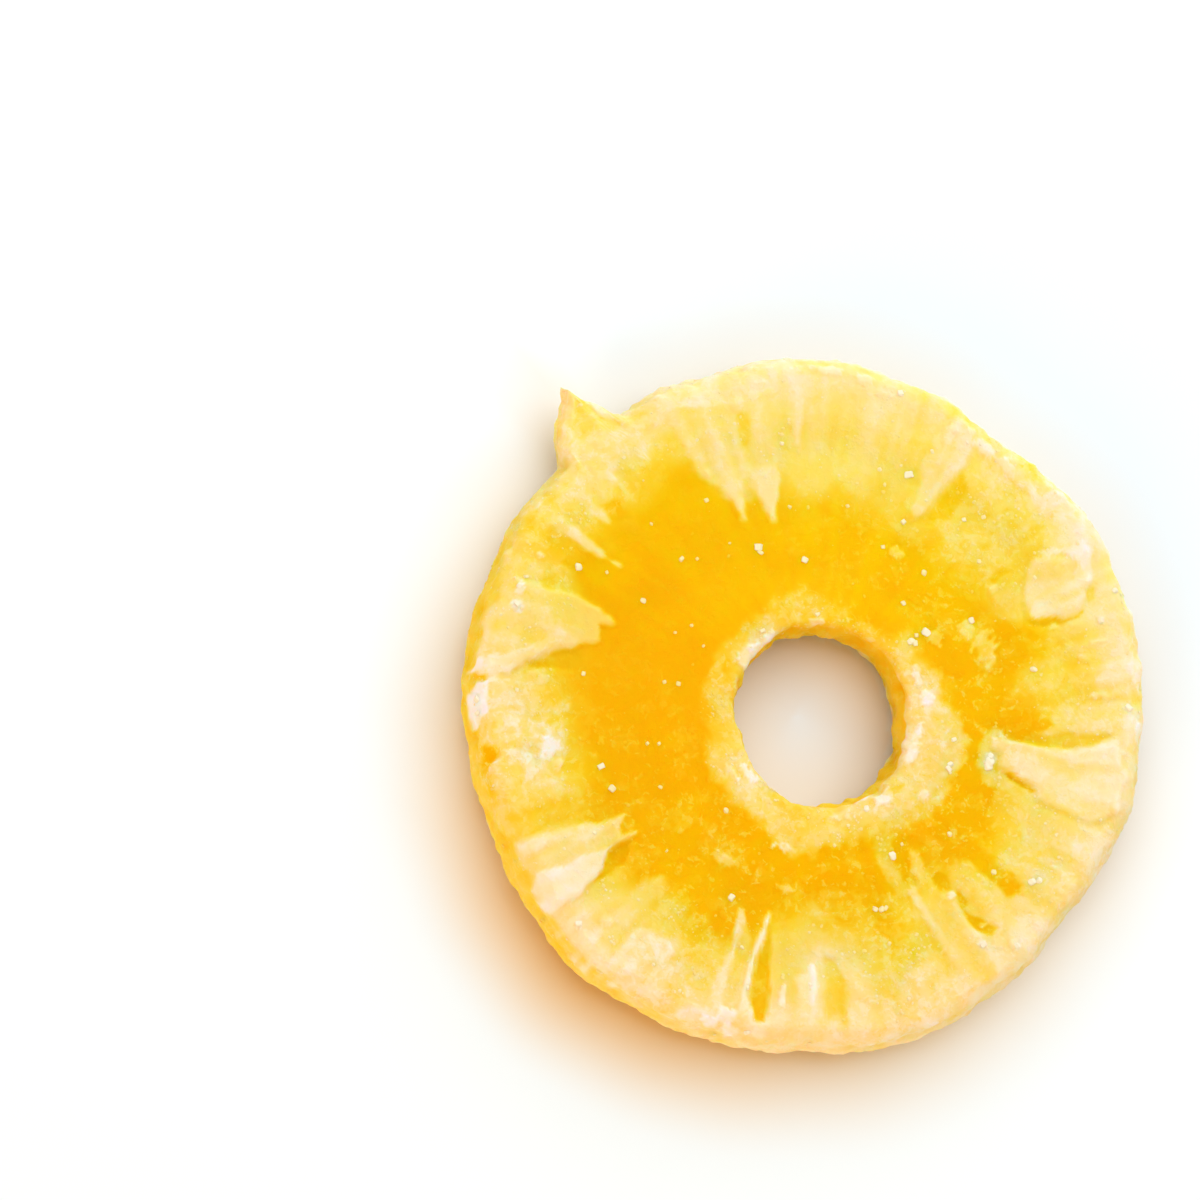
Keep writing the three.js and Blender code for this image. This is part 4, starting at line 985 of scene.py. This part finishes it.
table_turns = np.arange(TABLE_SIDES) * FULL_TURN / TABLE_SIDES
outside = TABLE_RINGS[:, None] - rim_radius(table_turns)
inside = hole_radius(table_turns) - TABLE_RINGS[:, None]
shaded = np.clip(np.cos(np.radians(table_turns - TABLE_PAINTED_SHADOW["shaded_turn"])), 0, 1) ** 4
glow_outside = (TABLE_PAINTED_SHADOW["rim"] + TABLE_PAINTED_SHADOW["shaded"] * shaded) * ease(1 - np.maximum(outside, 0) / TABLE_PAINTED_SHADOW["reach"])
glow = np.where(inside > 0, TABLE_PAINTED_SHADOW["hole"] * ease(1 - inside / TABLE_PAINTED_SHADOW["hole_reach"]), glow_outside)
table_grid = np.stack([*in_plane(table_turns, TABLE_RINGS[:, None]), np.zeros(outside.shape)], axis=2) * MM
table_grid[:, :, :2] += disc_centre
index = np.arange(outside.size).reshape(outside.shape)
next_side = np.roll(index, -1, axis=1)
sheet = np.stack([index[:-1], index[1:], next_side[1:], next_side[:-1]], axis=2).reshape(-1, 4).tolist()
table_mesh = bpy.data.meshes.new("table")
table_mesh.from_pydata(table_grid.reshape(-1, 3), [], sheet + [index[0].tolist()])
table = new_object("table", table_mesh)
store(table, glow=glow)
table_material, table_nodes, table_links, table_inputs = new_material("white table")
# Painted warm shadow: the table's white is mixed to gold by the stored mask.
table_tone = table_nodes.new("ShaderNodeMix")
table_tone.data_type = "RGBA"
table_tone.inputs[6].default_value = TABLE_WHITE
table_tone.inputs[7].default_value = TABLE_SHADOW_GOLD
table_links.new(surface_mask(table_nodes, "glow"), table_tone.inputs["Factor"])
table_inputs["Roughness"].default_value = 0.8
table_links.new(table_tone.outputs[2], table_inputs["Base Color"])
table_mesh.materials.append(table_material)

# ---------------------------------------------------------------------------------------------------
# The light: a wide soft lamp over the far side, a lower one over the near left, and a bright room whose
# white is warm, as if it came off more fruit, so that shadows on the table are warm as well.

LAMPS = [("main_lamp", (0.2, 0.53, 0.82), 1.6, 18.2, (0.645, 0.84, 1.0)),
         ("near_lamp", (-0.6, -0.83, 0.32), 0.6, 5.4, (1.0, 0.8, 0.5))]
ROOM_COLOUR = (1.0, 0.76, 0.45)
ROOM_LIGHT = 0.6


def add_lamp(name, place, size, watts, colour):
    """Square lamp of that size and colour, aimed at the ring from its place."""
    data = bpy.data.lights.new(name, "AREA")
    data.shape = "SQUARE"
    data.size = size
    data.energy = watts
    data.color = colour
    lamp = new_object(name, data)
    lamp.location = place
    lamp.rotation_euler = (-Vector(place)).to_track_quat("-Z", "Y").to_euler()


for lamp in LAMPS:
    add_lamp(*lamp)
room = bpy.data.worlds.new("room")
room.use_nodes = True
room.node_tree.nodes["Background"].inputs["Color"].default_value = (*ROOM_COLOUR, 1)
room.node_tree.nodes["Background"].inputs["Strength"].default_value = ROOM_LIGHT
bpy.context.scene.world = room
bpy.context.scene.view_settings.view_transform = "Standard"

# ---------------------------------------------------------------------------------------------------
# The camera: it looks down on the ring's face from 17 degrees off its axis, over the lower left of the
# rim, with the ring to the lower right of the picture.

CAMERA_DISTANCE = 0.52
CAMERA_TILT = math.radians(17)
CAMERA_BEARING = math.radians(215)
EYE_LEVEL = 0.005
AIM_LEFT = 0.0239
AIM_UP = 0.0126
SENSOR = 36.0
LENS = 133.4


def looking(direction):
    """Right, up and forward unit vectors of a camera that looks along a direction, with +Y up in view."""
    forward = direction.normalized()
    right = forward.cross(Vector((0, 1, 0))).normalized()
    return right, right.cross(forward), forward


ring_centre = Vector((*disc_centre, EYE_LEVEL))
towards_eye = Vector((math.sin(CAMERA_TILT) * math.cos(CAMERA_BEARING),
                      math.sin(CAMERA_TILT) * math.sin(CAMERA_BEARING), math.cos(CAMERA_TILT)))
eye = ring_centre + CAMERA_DISTANCE * towards_eye
right, up, forward = looking(-towards_eye)
right, up, forward = looking(ring_centre - AIM_LEFT * right + AIM_UP * up - eye)
camera_data = bpy.data.cameras.new("camera")
camera_data.sensor_width = SENSOR
camera_data.lens = LENS
camera = new_object("camera", camera_data)
camera.matrix_world = Matrix.Translation(eye) @ Matrix((right, up, -forward)).transposed().to_4x4()
bpy.context.scene.camera = camera
